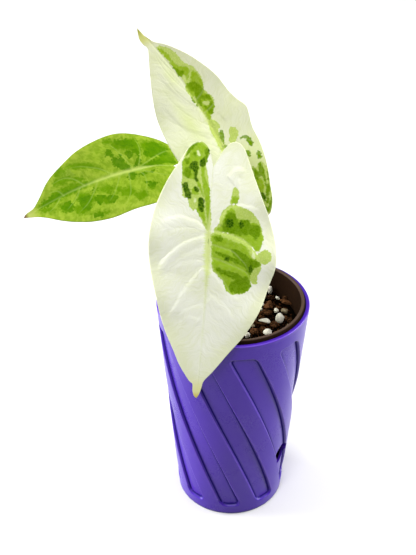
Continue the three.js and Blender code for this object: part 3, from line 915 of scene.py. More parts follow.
@dataclass
class OuterPot:
    """The tall purple pot: a tapered wall with nine twisted sunk panels and two round side holes."""

    height: float = 143.4
    rim_radius: float = 45.0
    base_radius: float = 33.5
    wall: float = 3.0
    floor: float = 4.0
    foot_round: float = 1.2
    rim_wall: float = 2.4
    rim_round: float = 0.8
    lip_round: float = 0.4
    ledge_height: float = 138.0
    ledge_radius: float = 40.8
    panels: int = 9
    twist: float = -0.585
    twist_height: float = 70.0
    first_panel: float = -86.75
    panel_half_width: float = 10.25
    panel_bottom: float = 8.2
    panel_top: float = 133.0
    panel_depth: float = 1.8
    panel_corner: float = 3.6
    edge: float = 0.75
    hole_radius: float = 7.2
    hole_height: float = 35.6
    hole_panels: tuple[int, ...] = (1, 5)
    # Where the painted shade line lies inside each panel's edge, and how wide it is
    painted_shade_place: float = 0.55
    painted_shade_width: float = 0.55
    hole_sides: int = 72
    join_gap: float = 0.01
    # The purple finish, with a deep violet painted shade and a pale violet painted highlight
    finish: MouldedPlastic = MouldedPlastic(
        "purple_plastic", (71, 31, 168), (64, 26, 159), 0.26, 0.34, crease=(18, 0, 98), edge=(140, 100, 226),
        shine=0.34,
    )

    def radius(self, z: float) -> float:
        """Returns the wall's outer radius at a height."""
        return self.base_radius + (self.rim_radius - self.base_radius) * z / self.height

    def build(self) -> None:
        """Builds the pot from one sector, drills its holes and settles it."""
        tree, material = round_repeat_tree(), self.finish.material()
        points, faces = self._sector()
        values = {
            "Count": self.panels, "Step": math.tau / self.panels, "Join gap": self.join_gap * MM,
            "Finish": material,
        }
        pot = tree.grow(mesh_object("sector", points, faces), "outer_pot_shell", values)
        cut(pot, [self._drill(panel) for panel in self.hole_panels])
        self._paint_shade_and_highlights(pot.data)
        sharpen(pot.data, CRISP_DEGREES)
        dress(pot, material)
        settle(pot, "outer_pot", "outer_pot")

    def _paint_shade_and_highlights(self, mesh: Mesh) -> None:
        """Stores how much painted shade each point gets, along the foot of each panel's sunk wall, on the inner
        wall under the lip and round the pot's foot, and how much painted highlight, along the panels' outer
        edges and on the rim's rounding.
        """
        points = points_of(mesh)
        z, reach = points[:, 2], np.hypot(points[:, 0], points[:, 1])
        turn = np.degrees(np.arctan2(points[:, 1], points[:, 0])) - self.first_panel
        pitch = 360 / self.panels
        offset = (turn - self.twist * (z - self.twist_height) + pitch / 2) % pitch - pitch / 2
        inside = self._inside(offset, z)
        # Painted shade: a dark line along the foot of each panel's sunk wall, the inner wall under the lip, and
        # a darker band round the pot's foot
        foot = np.exp(-(((inside - self.painted_shade_place) / self.painted_shade_width) ** 2))
        outer = reach > self.radius(z) - self.panel_depth - 0.4
        lip_shade = (reach < self.rim_radius - self.rim_wall + 0.3) & (z > self.ledge_height)
        low = 0.7 * (1 - smooth_share(z, 0.3, 2.6)) * outer
        store(mesh, "crease", np.maximum.reduce([np.minimum(1.15 * foot, 1) * outer, lip_shade, low]))
        # Painted highlight: a light line just outside each panel's edge, and a light band on the rim's outer
        # rounding
        side = (reach > self.radius(z) - 0.25) & (z > self.panel_bottom + 4) & (z < self.panel_top + 2)
        painted_crest_highlight = 0.35 * np.exp(-(((inside + 0.55) / 0.3) ** 2)) * side
        beyond, above = reach - self.rim_radius + self.rim_round, z - self.height + self.rim_round
        slope = np.degrees(np.arctan2(above, beyond))
        rounding = (beyond > -0.01) & (above > -0.01)
        store(mesh, "edge", np.maximum(painted_crest_highlight, 0.4 * np.exp(-(((slope - 45) / 22) ** 2)) * rounding))

    def _inside(self, offset: Array, z: Array | float) -> Array:
        """Returns how far inside a panel's edge places lie, by their offset in degrees and their height."""
        middle = (self.panel_top + self.panel_bottom) / 2
        half_height = (self.panel_top - self.panel_bottom) / 2 - self.panel_corner
        radius = self.radius(z)
        half_width = math.radians(self.panel_half_width) * radius - self.panel_corner
        across = np.abs(np.radians(offset)) * radius - half_width
        along = np.abs(z - middle) - half_height
        outside = np.hypot(np.maximum(across, 0), np.maximum(along, 0))
        return self.panel_corner - outside - np.minimum(np.maximum(across, along), 0)

    def _offsets(self) -> Array:
        """Returns the sector's columns in degrees from the panel's middle, close together at its edges."""
        half, reach = self.panel_half_width, 1.5
        edge = np.linspace(half - reach, half + reach, 13)
        inner = np.linspace(0, half - reach, 5)[:-1]
        outer = np.linspace(half + reach, 180 / self.panels, 5)[1:]
        right = np.concatenate([inner, edge, outer])
        return np.concatenate([-right[:0:-1], right])

    def _heights(self) -> Array:
        """Returns the wall's row heights, close together at the panels' ends."""
        reach, steps = 5.0, 19
        low = np.linspace(self.panel_bottom - 1.4, self.panel_bottom + reach, steps)
        high = np.linspace(self.panel_top - reach, self.panel_top + 1.4, steps)
        middle = np.linspace(low[-1], high[0], 38)[1:-1]
        foot = np.linspace(self.foot_round, low[0], 5)[:-1]
        top = np.linspace(high[-1], self.height - self.rim_round, 5)[1:]
        return np.concatenate([foot, low, middle, high, top])

    def _sunk(self, offset: Array, z: float) -> Array:
        """Returns how deep the wall is sunk at offsets in degrees from a panel's middle."""
        return self.panel_depth * smooth_share(self._inside(offset, z), -self.edge, self.edge)

    def _ring(self, z: float, radius: Array | float, twist_z: float) -> Array:
        """Returns a sector's row of points with its columns twisted as at a height."""
        turn = self.first_panel + self._offsets() + self.twist * (twist_z - self.twist_height)
        return level(radius, np.radians(turn), z)

    def _sector(self) -> tuple[Array, list]:
        """Returns the closed wall's sector, from the middle of the foot to the middle of the floor inside."""
        rows = [
            self._ring(z, r, 0.0)
            for r, z in arc((self.base_radius - self.foot_round, self.foot_round), self.foot_round, -90, -15, 5)
        ]
        rows += [self._ring(z, self.radius(z) - self._sunk(self._offsets(), z), z) for z in self._heights()]
        inner = self.rim_radius - self.rim_wall
        outer_round = arc(
            (self.rim_radius - self.rim_round, self.height - self.rim_round), self.rim_round, 12, 90, 6
        )
        inner_round = arc((inner + self.lip_round, self.height - self.lip_round), self.lip_round, 90, 180, 4)
        ledge = [(inner, self.ledge_height + 0.3), (inner - 0.3, self.ledge_height)]
        inside = [
            (self.ledge_radius + 0.3, self.ledge_height), (self.ledge_radius, self.ledge_height - 0.3),
            (self.radius(self.floor) - self.wall, self.floor + 1.5),
            (self.radius(self.floor) - self.wall - 1.5, self.floor),
        ]
        profile = [*outer_round, *inner_round, *ledge, *inside]
        rows += [self._ring(z, r, self.height) for r, z in profile]
        width = len(rows[0])
        points = np.vstack([*rows, [(0, 0, 0)], [(0, 0, self.floor)]])
        faces = []
        for i in range(len(rows) - 1):
            a, b = i * width, (i + 1) * width
            faces += [(a + j, a + j + 1, b + j + 1, b + j) for j in range(width - 1)]
        top = (len(rows) - 1) * width
        faces += [(len(points) - 2, j + 1, j) for j in range(width - 1)]
        faces += [(len(points) - 1, top + j, top + j + 1) for j in range(width - 1)]
        return points, faces

    def _drill(self, panel: int) -> Object:
        """Returns the cutter of one side hole."""
        turn = self.first_panel + panel * 360 / self.panels
        angle = math.radians(turn + self.twist * (self.hole_height - self.twist_height))
        start, end = self.base_radius / 2, self.rim_radius + 5
        ends = [(r * math.cos(angle), r * math.sin(angle), self.hole_height) for r in (start, end)]
        return drill(self.hole_radius, *ends, self.hole_sides)


@dataclass
class NurseryPot:
    """The thin brown grower's pot that hangs by its rolled rim on the outer pot's ledge."""

    rim_radius: float = 42.25
    rim_width: float = 2.4
    rim_top: float = 145.5
    rim_bottom: float = 138.3
    top_radius: float = 40.3
    bottom_radius: float = 28.5
    bottom: float = 6.0
    wall: float = 1.0
    taper_top: float = 138.0
    step_height: float = 126.0
    drain_radius: float = 3.0
    drain_circle: float = 17.0
    drains: int = 5
    drain_sides: int = 32
    sides: int = 168
    # The brown finish, with a near-black painted shade for the inner wall and the rim's outer side
    finish: MouldedPlastic = MouldedPlastic(
        "brown_plastic", (82, 66, 57), (74, 58, 50), 0.34, 0.44, grain_depth=0.02, grain_per_mm=1.5,
        crease=(32, 19, 10), shine=0.04,
    )

    def radius(self, z: float) -> float:
        """Returns the wall's outer radius at a height."""
        share = (z - self.bottom) / (self.taper_top - self.bottom)
        return self.bottom_radius + (self.top_radius - self.bottom_radius) * share

    def build(self) -> None:
        """Revolves the pot, drills its floor and settles it."""
        rings = [circle(r, z, self.sides) for r, z in self._profile()]
        inside = self.bottom + self.wall
        points, faces = skin(rings, (0, 0, self.bottom), (0, 0, inside))
        pot = mesh_object("nursery_pot_shell", points, faces)
        holes = []
        for k in range(self.drains):
            angle = k * math.tau / self.drains
            x, y = self.drain_circle * math.cos(angle), self.drain_circle * math.sin(angle)
            ends = [(x, y, self.bottom - 1), (x, y, inside + 1)]
            holes.append(drill(self.drain_radius, *ends, self.drain_sides))
        cut(pot, holes)
        sharpen(pot.data, CRISP_DEGREES)
        # Painted shade on the inner wall below the rim's top and on the rim's outer side; no painted highlight
        points = points_of(pot.data)
        below, reach = self.rim_top - points[:, 2], np.hypot(points[:, 0], points[:, 1])
        outside = smooth_share(reach, self.rim_radius - 0.9, self.rim_radius - 0.15)
        store(pot.data, "crease", np.maximum(smooth_share(below, 0.3, 1.2), outside))
        store(pot.data, "edge", np.zeros(len(below)))
        dress(pot, self.finish.material())
        settle(pot, "nursery_pot", "nursery_pot")

    def _profile(self) -> list[Pair]:
        """Returns the wall's outline from the foot over the rolled rim to the floor inside."""
        half = self.rim_width / 2
        rim = arc((self.rim_radius - half, self.rim_top - half), half, 0, 180, 16)
        inner = self.rim_radius - self.rim_width
        outer_wall = np.linspace(self.bottom + 1, self.rim_bottom, 24)
        step = self.step_height
        inner_wall = [
            (self.radius(z) - self.wall - (0.35 if z < step else 0.0), z)
            for z in (self.rim_bottom - 1.2, step + 0.6, step - 0.2, 90, 50, self.bottom + 2 * self.wall)
        ]
        return [
            (self.bottom_radius - 1, self.bottom), *((self.radius(z), z) for z in outer_wall),
            (self.rim_radius - 0.3, self.rim_bottom), (self.rim_radius, self.rim_bottom + 0.3),
            *rim, (inner, self.rim_bottom + 1.2), *inner_wall,
            (self.radius(self.bottom) - 2 * self.wall, self.bottom + self.wall),
        ]


class LumpKind(Enum):
    """What a lump of the potting mix is."""

    BARK = "bark"
    PERLITE = "perlite"
    STONE = "stone"
    CRUMB = "crumb"


@dataclass(frozen=True)
class Lump:
    """One lump of the potting mix that shows from the front: its place, size, form and tone, the tone lowered
    as painted shade on lumps in the wall's shadow.
    """

    x: float
    y: float
    length: float
    width: float
    height: float
    lift: float = 0.5
    seed: int = 1
    tint: float = 0.5
    tilt: float = 0.0
    bend: float = 0.0
    taper: float = 0.0

    def place(self, points: Array, ground: float) -> Array:
        """Returns a formed lump's points at its size and place, bent, tapered and tilted."""
        own = points / np.abs(points).max(0)
        own[:, 2] -= self.bend * own[:, 0] ** 2
        own[:, 1:] *= (1 - self.taper * own[:, 0])[:, None]
        own *= np.array([self.length, self.width, self.height]) / 2
        tilt = math.radians(self.tilt)
        lean = np.array([[math.cos(tilt), 0, -math.sin(tilt)], [0, 1, 0], [math.sin(tilt), 0, math.cos(tilt)]])
        return own @ lean + np.array([self.x, self.y, ground + self.lift + self.height * 0.3])


@dataclass(frozen=True)
class LumpShape:
    """How a kind of lump is formed: flats knocked off a ball, and a rough surface."""

    flats: int
    nearest: float
    farthest: float
    rough: float
    rough_scale: float
    stretch: Triple


@dataclass(frozen=True)
class Strewing:
    """How one kind of lump is strewn over the bed: lengths in metres, and how many to a square metre."""

    name: str
    kind: LumpKind
    ground: str
    fineness: int
    spacing: float
    smallest: float
    largest: float
    lift: float
    density: float
    tilt: float = 0.7


STREWN = (
    Strewing("bark_crumbs", LumpKind.CRUMB, "crumb_ground", 1, 0.0016, 0.0005, 0.0014, 0.0, 2.0e6),
    Strewing("bark_lumps", LumpKind.BARK, "bark_ground", 3, 0.0046, 0.0022, 0.0040, 0.0008, 3.0e5),
    Strewing("perlite_lumps", LumpKind.PERLITE, "perlite_ground", 3, 0.0075, 0.0010, 0.0026, 0.0022, 6.0e4),
)
LUMP_SKINS = {
    LumpKind.BARK: LumpSkin(
        "bark", (29, 17, 8), (124, 82, 52), (12, 6, 3), 0.8, 0.85, (0.7, 1.8, 1.8), 0.6, shine=0.03,
    ),
    LumpKind.PERLITE: LumpSkin(
        "perlite", (236, 231, 214), (248, 245, 234), (214, 206, 182), 0.4, 0.7, relief=0.12, shine=0.2,
    ),
    LumpKind.STONE: LumpSkin("stone", (104, 90, 68), (172, 158, 130), (92, 76, 54), 0.5, 0.75),
    LumpKind.CRUMB: LumpSkin("bark_crumb", (14, 7, 3), (74, 43, 24), (8, 4, 2), 0.8, 0.9, shine=0.02),
}
LUMP_SHAPES = {
    LumpKind.BARK: LumpShape(11, 0.5, 0.84, 0.3, 2.1, (1.0, 0.78, 0.6)),
    LumpKind.PERLITE: LumpShape(4, 0.72, 0.9, 0.07, 0.9, (1.0, 0.86, 0.8)),
    LumpKind.STONE: LumpShape(10, 0.58, 0.85, 0.05, 2.2, (1.0, 0.86, 0.8)),
    LumpKind.CRUMB: LumpShape(6, 0.5, 0.85, 0.12, 2.0, (1.0, 0.72, 0.55)),
}


def lump_mesh(kind: LumpKind, seed: int, fineness: int) -> tuple[Array, list, Array]:
    """Forms a lump about 2 across in its own units.

    Args:
        kind: What the lump is.
        seed: The seed of its flats and roughness.
        fineness: How often the ball's faces are split.

    Returns:
        The points, the faces and each point's place in the lump's own grain.
    """
    form = LUMP_SHAPES[kind]
    rng = np.random.default_rng(seed * 7 + len(kind.value))
    shape = bmesh.new()
    bmesh.ops.create_icosphere(shape, subdivisions=fineness, radius=1.0)
    shape.verts.ensure_lookup_table()
    points = np.array([vertex.co[:] for vertex in shape.verts])
    faces = [[vertex.index for vertex in face.verts] for face in shape.faces]
    shape.free()
    for _ in range(form.flats):
        normal = rng.normal(size=3)
        normal /= np.linalg.norm(normal)
        over = np.maximum(points @ normal - rng.uniform(form.nearest, form.farthest), 0)
        points -= over[:, None] * normal * 0.92
    shift = rng.uniform(-9, 9, 3)
    lumps = [noise.fractal(Vector(p * form.rough_scale + shift), 0.9, 2.2, 3) for p in points]
    points *= (1 + form.rough * np.array(lumps))[:, None]
    grain = points * 2.0 + rng.uniform(0, 50, 3)
    return points * np.array(form.stretch), faces, grain


@dataclass
class PottingMix:
    """Dark bark with white perlite: a crumbly bed, strewn lumps, and the lumps that show from the front."""

    shown: dict[LumpKind, Sequence[Lump]]
    top: float = 129.0
    bottom: float = 7.3
    inner_gap: float = 0.35
    stem_radius: float = 7.6
    rings: int = 44
    sides: int = 150
    seed: int = 4
    sources: int = 6
    shown_fineness: int = 4
    shown_seed: int = 20
    # The bed's colour is partly the fine mix's own dark tone and partly painted shade in the gaps between the
    # lumps
    ground: LumpSkin = LumpSkin(
        "fine_mix", (5, 3, 1), (20, 11, 6), (6, 3, 2), 0.5, 0.95, relief=0.8, shine=0.01,
    )

    def build(self, pot: NurseryPot) -> None:
        """Builds the bed and every kind of lump on it.

        Args:
            pot: The pot that the mix fills.
        """
        bed = self._bed(pot)
        tree = strewn_tree()
        materials = {kind: finish.material() for kind, finish in LUMP_SKINS.items()}
        for number, row in enumerate(STREWN):
            source = self._source(row.kind, row.fineness)
            values = {
                "Lumps": source, "Ground": row.ground, "Spacing": row.spacing, "Density": row.density,
                "Seed": self.seed + number, "Smallest": row.smallest, "Largest": row.largest, "Tilt": row.tilt,
                "Lift": row.lift, "Finish": materials[row.kind],
            }
            piece = tree.grow(linked("carrier", bed.data.copy()), row.name, values)
            for obj in list(source.objects):
                bpy.data.objects.remove(obj)
            bpy.data.collections.remove(source)
            settle(piece, "potting_mix")
        for kind in self.shown:
            piece = self._shown(kind)
            dress(piece, materials[kind])
            settle(piece, "potting_mix")
        dress(bed, self.ground.material())
        settle(bed, "potting_mix", "potting_mix")

    def _bed(self, pot: NurseryPot) -> Object:
        """Returns the closed bed, with its rough top marked where lumps may lie."""
        lower = [*np.linspace(self.bottom, self.top - 2, 6), self.top]
        *reaches, edge = [pot.radius(z) - pot.wall - self.inner_gap for z in lower]
        rings = [circle(reach, z, self.sides) for reach, z in zip(reaches, lower)]
        for share in np.linspace(1, 0.02, self.rings):
            ring = circle(edge * share, self.top, self.sides)
            for point in ring:
                rough = noise.fractal(Vector((point[0] * 0.25, point[1] * 0.25, 3.0)), 0.8, 2.1, 4)
                point[2] += 1.5 * rough * min(1, (1 - share) * 12)
            rings.append(ring)
        points, faces = skin(rings, (0, 0, self.bottom), (0, 0, self.top))
        bed = mesh_object("mix_bed", points, faces)
        reach = np.hypot(points[:, 0], points[:, 1])
        ground = (points[:, 2] > self.top - 1.9) & (reach < edge - 2.2) & (reach > self.stem_radius + 1.5)
        store(bed.data, "crumb_ground", ground & (reach < edge - 1.2))
        for lump in sum(self.shown.values(), ()):
            apart = np.hypot(points[:, 0] - lump.x, points[:, 1] - lump.y)
            ground &= apart > 0.5 * max(lump.length, lump.width) + 1.0
        store(bed.data, "bark_ground", ground)
        in_front = (points[:, 0] > 2) & (points[:, 1] < 34)
        store(bed.data, "perlite_ground", ground & ~in_front)
        store(bed.data, "grain", points)
        store(bed.data, "tint", np.full(len(points), 0.2))
        return bed

    def _source(self, kind: LumpKind, fineness: int) -> bpy.types.Collection:
        """Returns a collection with a few lumps of one kind, each one unit in radius."""
        source = bpy.data.collections.new(kind.value)
        bpy.context.scene.collection.children.link(source)
        for seed in range(1, self.sources + 1):
            points, faces, grain = lump_mesh(kind, seed, fineness)
            mesh = bpy.data.meshes.new(kind.value)
            mesh.from_pydata(points.tolist(), [], faces)
            store(mesh, "grain", grain)
            source.objects.link(bpy.data.objects.new(kind.value, mesh))
        return source

    def _shown(self, kind: LumpKind) -> Object:
        """Returns one piece that holds all the lumps of one kind that show from the front."""
        points, faces, grains, tones_and_shades = [], [], [], []
        for lump in self.shown[kind]:
            own, own_faces, grain = lump_mesh(kind, lump.seed + self.shown_seed, self.shown_fineness)
            count = sum(map(len, points))
            faces += [[index + count for index in face] for face in own_faces]
            points.append(lump.place(own, self.top))
            grains.append(grain)
            tones_and_shades.append(np.full(len(own), lump.tint))
        piece = mesh_object(f"{kind.value}_in_front", np.vstack(points), faces)
        store(piece.data, "grain", np.vstack(grains))
        store(piece.data, "tint", np.concatenate(tones_and_shades))
        return piece


@dataclass(frozen=True)
class Spot:
    """A rounded marking: its middle, its half sizes along and across the leaf, and its turn in degrees."""

    along: float
    across: float
    half_length: float
    half_width: float
    turn: float = 0.0

    def depth(self, places: Array) -> Array:
        """Returns how deep places lie inside the spot."""
        turn = math.radians(self.turn)
        x, y = places[:, 0] - self.along, places[:, 1] - self.across
        u = (x * math.cos(turn) + y * math.sin(turn)) / self.half_length
        v = (y * math.cos(turn) - x * math.sin(turn)) / self.half_width
        return (1 - np.hypot(u, v)) * min(self.half_length, self.half_width)


@dataclass(frozen=True)
class Pattern:
    """What is on one blade: its skin, the markings of each tone, raised folds with heights, and veins."""

    skin: BladeSkin
    patches: dict[Tone, Sequence[Outline]]
    spots: dict[Tone, Sequence[Spot]]
    folds: Sequence[tuple[float, Outline]]
    veins: Sequence[Outline]

    def field(self, tone: Tone, places: Array) -> Array:
        """Returns how deep places lie inside the markings of one tone."""
        far_outside = -30.0
        depths = [inside_distance(places, outline) for outline in self.patches.get(tone, ())]
        depths += [spot.depth(places) for spot in self.spots.get(tone, ())]
        return np.max(depths, axis=0) if depths else np.full(len(places), far_outside)


@dataclass(frozen=True)
class LeafShape:
    """A blade's sizes, as its solid has them, and the route of its stalk."""

    name: str
    junction: Triple
    to_tip: Triple
    upward: Triple
    bow: float
    bend: Pair
    fold: Pair
    fold_width: float
    arch: float
    wave: Triple
    sinus: Pair
    tip: Pair
    right: Outline
    left: Outline
    stalk: Route
    half_width: float = 30.0
    wave_shift: float = 2.0

    def axes(self) -> Array:
        """Returns the leaf's unit directions to the tip, across and upward."""
        to_tip = np.array(self.to_tip) / np.linalg.norm(self.to_tip)
        upward = np.array(self.upward) - np.dot(self.upward, to_tip) * to_tip
        upward /= np.linalg.norm(upward)
        return np.stack([to_tip, np.cross(upward, to_tip), upward])

    def midrib(self, along: Array) -> Array:
        """Returns the midrib's place across the blade."""
        length = self.tip[0]
        slope = 4 * self.bow / length
        ahead = slope * along * (1 - along / length) + self.tip[1] * (along / length) ** 3
        curve = (self.sinus[1] - slope * self.sinus[0]) / self.sinus[0] ** 2
        return np.where(along >= 0, ahead, slope * along + curve * along**2)

    def height(self, along: Array, across: Array) -> Array:
        """Returns the height of the upper face over the leaf plane."""
        side = across - self.midrib(along)
        bend = np.where(along > 0, self.bend[0], self.bend[1])
        fold = np.where(side > 0, self.fold[0], self.fold[1])
        raised = fold * (np.hypot(side, self.fold_width) - self.fold_width)
        rise, length, start = self.wave
        phase = 2 * math.pi * (along - start) / length + np.where(side > 0, 0, self.wave_shift)
        wave = rise * (side / self.half_width) ** 2 * np.sin(phase)
        return raised + wave - bend * along**2 / 2 - self.arch * side**2 / 2

    def point(self, along: Array, across: Array, lift: Array) -> Array:
        """Returns places in space from places on the leaf and a lift off its upper face."""
        along, across = np.asarray(along, float), np.asarray(across, float)
        own = np.stack([along, across, self.height(along, across) + lift], axis=-1)
        return np.array(self.junction) + own @ self.axes()


@dataclass
class Blade:
    """One leaf blade: a thin closed sheet with sunk veins above, raised ribs below and its own markings."""

    shape: LeafShape
    pattern: Pattern
    slot: str
    rows: int = 260
    columns: int = 58
    row_sweep: float = 1.9
    column_spread: float = 1.25
    thickness: float = 0.5
    margin_thickness: float = 0.28
    rib_depth: float = 1.5
    groove: float = 0.1
    vein_width: float = 0.42
    vein_taper: float = 0.45
    fold_reach: float = 2.4
    margin_steps: int = 20

    def build(self) -> None:
        """Builds the blade, stores its fields and settles it."""
        grid = self._grid()
        inner = grid[1:-1]
        flat = np.vstack([inner.reshape(-1, 2), grid[0, :1], grid[-1, :1]])
        vein = self._veins(flat)
        side = flat[:, 1] - self.shape.midrib(flat[:, 0])
        margin = self._margin(grid)
        rib = self._rib(flat[:, 0], side)
        edge = smooth_share(margin, 0, 5)
        upper = self._folds(flat) * edge - self.groove * vein - 0.3 * rib
        body = self.margin_thickness + (self.thickness - self.margin_thickness) * smooth_share(margin, 0, 3)
        depth = self.rib_depth * self._rib_run(flat[:, 0]) * np.exp(-((side / 1.0) ** 2))
        lower = upper * 0.6 - body - 0.3 * vein - depth
        lower = np.minimum(lower, upper - self.margin_thickness)
        points = np.vstack([self.shape.point(flat[:, 0], flat[:, 1], lift) for lift in (upper, lower)])
        blade = mesh_object(f"leaf_{self.shape.name}", points, self._faces(inner.shape[0], inner.shape[1]))
        twice = {
            "leaf_place": np.column_stack([flat, np.zeros(len(flat))]), "vein": vein, "midrib": rib,
            "margin": margin, "midrib_wide": self._feather(flat[:, 0], side),
        }
        twice |= {tone.value: self.pattern.field(tone, flat) for tone in Tone}
        for name, values in twice.items():
            store(blade.data, name, np.concatenate([values, values]))
        store(blade.data, "underside", np.repeat([0.0, 1.0], len(flat)))
        dress(blade, self.pattern.skin.material())
        settle(blade, self.slot, f"blade_{self.shape.name}")

    def _grid(self) -> Array:
        """Returns the leaf places in rows from the notch to the tip, each from margin to margin."""
        shape = self.shape
        sides = [
            spaced(curve([shape.sinus, *np.reshape(outline, (-1, 2)), shape.tip], self.margin_steps), self.rows)
            for outline in (shape.left, shape.right)
        ]
        step = np.arange(self.rows + 1) / self.rows
        along = shape.sinus[0] + (shape.tip[0] - shape.sinus[0]) * step**self.row_sweep
        middle = np.stack([along, shape.midrib(along)], axis=1)[:, None, :]
        column = np.arange(-self.columns, self.columns + 1) / self.columns
        share = (np.abs(column) ** self.column_spread)[None, :, None]
        edge = np.where(column[None, :, None] < 0, sides[0][:, None, :], sides[1][:, None, :])
        return middle + (edge - middle) * share

    def _margin(self, grid: Array) -> Array:
        """Returns about how far each place lies from the margin."""
        inner = grid[1:-1]
        left = np.linalg.norm(inner - inner[:, :1], axis=-1)
        right = np.linalg.norm(inner - inner[:, -1:], axis=-1)
        return np.concatenate([np.minimum(left, right).ravel(), [0, 0]])

    def _rib_run(self, along: Array) -> Array:
        """Returns how strong the midrib is along the blade, from 1 at the junction to 0 at its ends."""
        ahead = 1 - np.clip(along, 0, None) / self.shape.tip[0]
        behind = np.clip(along, None, 0) / self.shape.sinus[0]
        return np.clip(ahead, 0, 1) * (1 - smooth_share(behind, 0.1, 0.9))

    def _rib(self, along: Array, side: Array) -> Array:
        """Returns the midrib's groove on the upper face, from 1 in its middle to 0 outside it."""
        run = self._rib_run(along)
        behind = smooth_share(-along, 0, 12)
        width = 0.3 + 0.75 * run * (1 - behind)
        return np.exp(-((side / width) ** 2)) * np.maximum(run, 0.35)

    def _feather(self, along: Array, side: Array) -> Array:
        """Returns the soft green band along the midrib's first stretch."""
        run = smooth_share(along, -4, 4) * (1 - smooth_share(along, 8, 45))
        return 0.75 * run * np.exp(-((side / 2.6) ** 2))

    def _veins(self, flat: Array) -> Array:
        """Returns each place's vein strength from 0 to 1."""
        strength = np.zeros(len(flat))
        for outline in self.pattern.veins:
            gap, share = line_distance(flat, curve(np.reshape(outline, (-1, 2)), OUTLINE_STEPS))
            fade = 1 - smooth_share(share, 0.72, 1.0)
            taper = 1 - self.vein_taper * share
            line = np.exp(-((gap / (self.vein_width * taper)) ** 2)) * taper * fade
            strength = np.maximum(strength, line)
        return strength

    def _folds(self, flat: Array) -> Array:
        """Returns the lift of the folds: each rises steeply on the tip's side of its line and sinks slowly."""
        lift = np.zeros(len(flat))
        for height, outline in self.pattern.folds:
            line = curve(np.reshape(outline, (-1, 2)), OUTLINE_STEPS)
            gap, share = line_distance(flat, line)
            nearest = np.clip((share * (len(line) - 1)).astype(int), 0, len(line) - 2)
            step, away = (line[1:] - line[:-1])[nearest], flat - line[nearest]
            turn = math.copysign(1, np.mean(outline[1::2]))
            beyond = -turn * (step[:, 0] * away[:, 1] - step[:, 1] * away[:, 0]) > 0
            ends = smooth_share(share, 0.0, 0.12) * (1 - smooth_share(share, 0.75, 1.0))
            rise = gap / self.fold_reach
            lift += height * ends * np.where(beyond, rise * np.exp(1 - rise), 0)
        return lift

    def _faces(self, rows: int, width: int) -> list:
        """Returns the faces of the closed sheet: above, below and round the margin."""
        size = rows * width + 2
        notch, tip = size - 2, size - 1
        upper = [
            (k * width + j, (k + 1) * width + j, (k + 1) * width + j + 1, k * width + j + 1)
            for k in range(rows - 1) for j in range(width - 1)
        ]
        last = (rows - 1) * width
        upper += [(notch, j, j + 1) for j in range(width - 1)]
        upper += [(tip, last + j + 1, last + j) for j in range(width - 1)]
        rim = [notch, *(k * width for k in range(rows)), tip]
        rim += [k * width + width - 1 for k in reversed(range(rows))]
        lower = [tuple(index + size for index in reversed(face)) for face in upper]
        sides = [(b, a, a + size, b + size) for a, b in zip(rim, rim[1:] + rim[:1])]
        return upper + lower + sides


@dataclass
class Stalk:
    """One petiole: a tapering round stalk that runs from the stem into the blade's midrib."""

    shape: LeafShape
    material: Material
    foot_radius: float = 2.9
    top_radius: float = 1.35
    taper: float = 1.5
    sides: int = 28
    steps: int = 14

    def route(self) -> Array:
        """Returns the stalk's route, ending along the underside of the midrib."""
        shape = self.shape
        neck = np.array(shape.junction) - 3.4 * shape.axes()[2]
        ends = [shape.point(along, shape.midrib(along), lift) for along, lift in ((2.6, -1.9), (10, -1.6))]
        return curve([*shape.stalk, neck, *ends], self.steps, power=0.5)

    def build(self, tree: GrowthTree) -> None:
        """Grows the stalk along its route and settles it."""
        route = self.route()
        lengths = np.concatenate([[0], np.cumsum(np.linalg.norm(np.diff(route, axis=0), axis=1))])
        mesh = bpy.data.meshes.new("route")
        mesh.from_pydata((route * MM).tolist(), [(i, i + 1) for i in range(len(route) - 1)], [])
        store(mesh, "rise", lengths / lengths[-1])
        name = self.shape.name
        values = {
            "Foot radius": self.foot_radius * MM, "Top radius": self.top_radius * MM, "Taper": self.taper,
            "Sides": self.sides, "Finish": self.material,
        }
        settle(tree.grow(linked("route", mesh), f"stalk_{name}", values), "petiole", f"petiole_{name}")


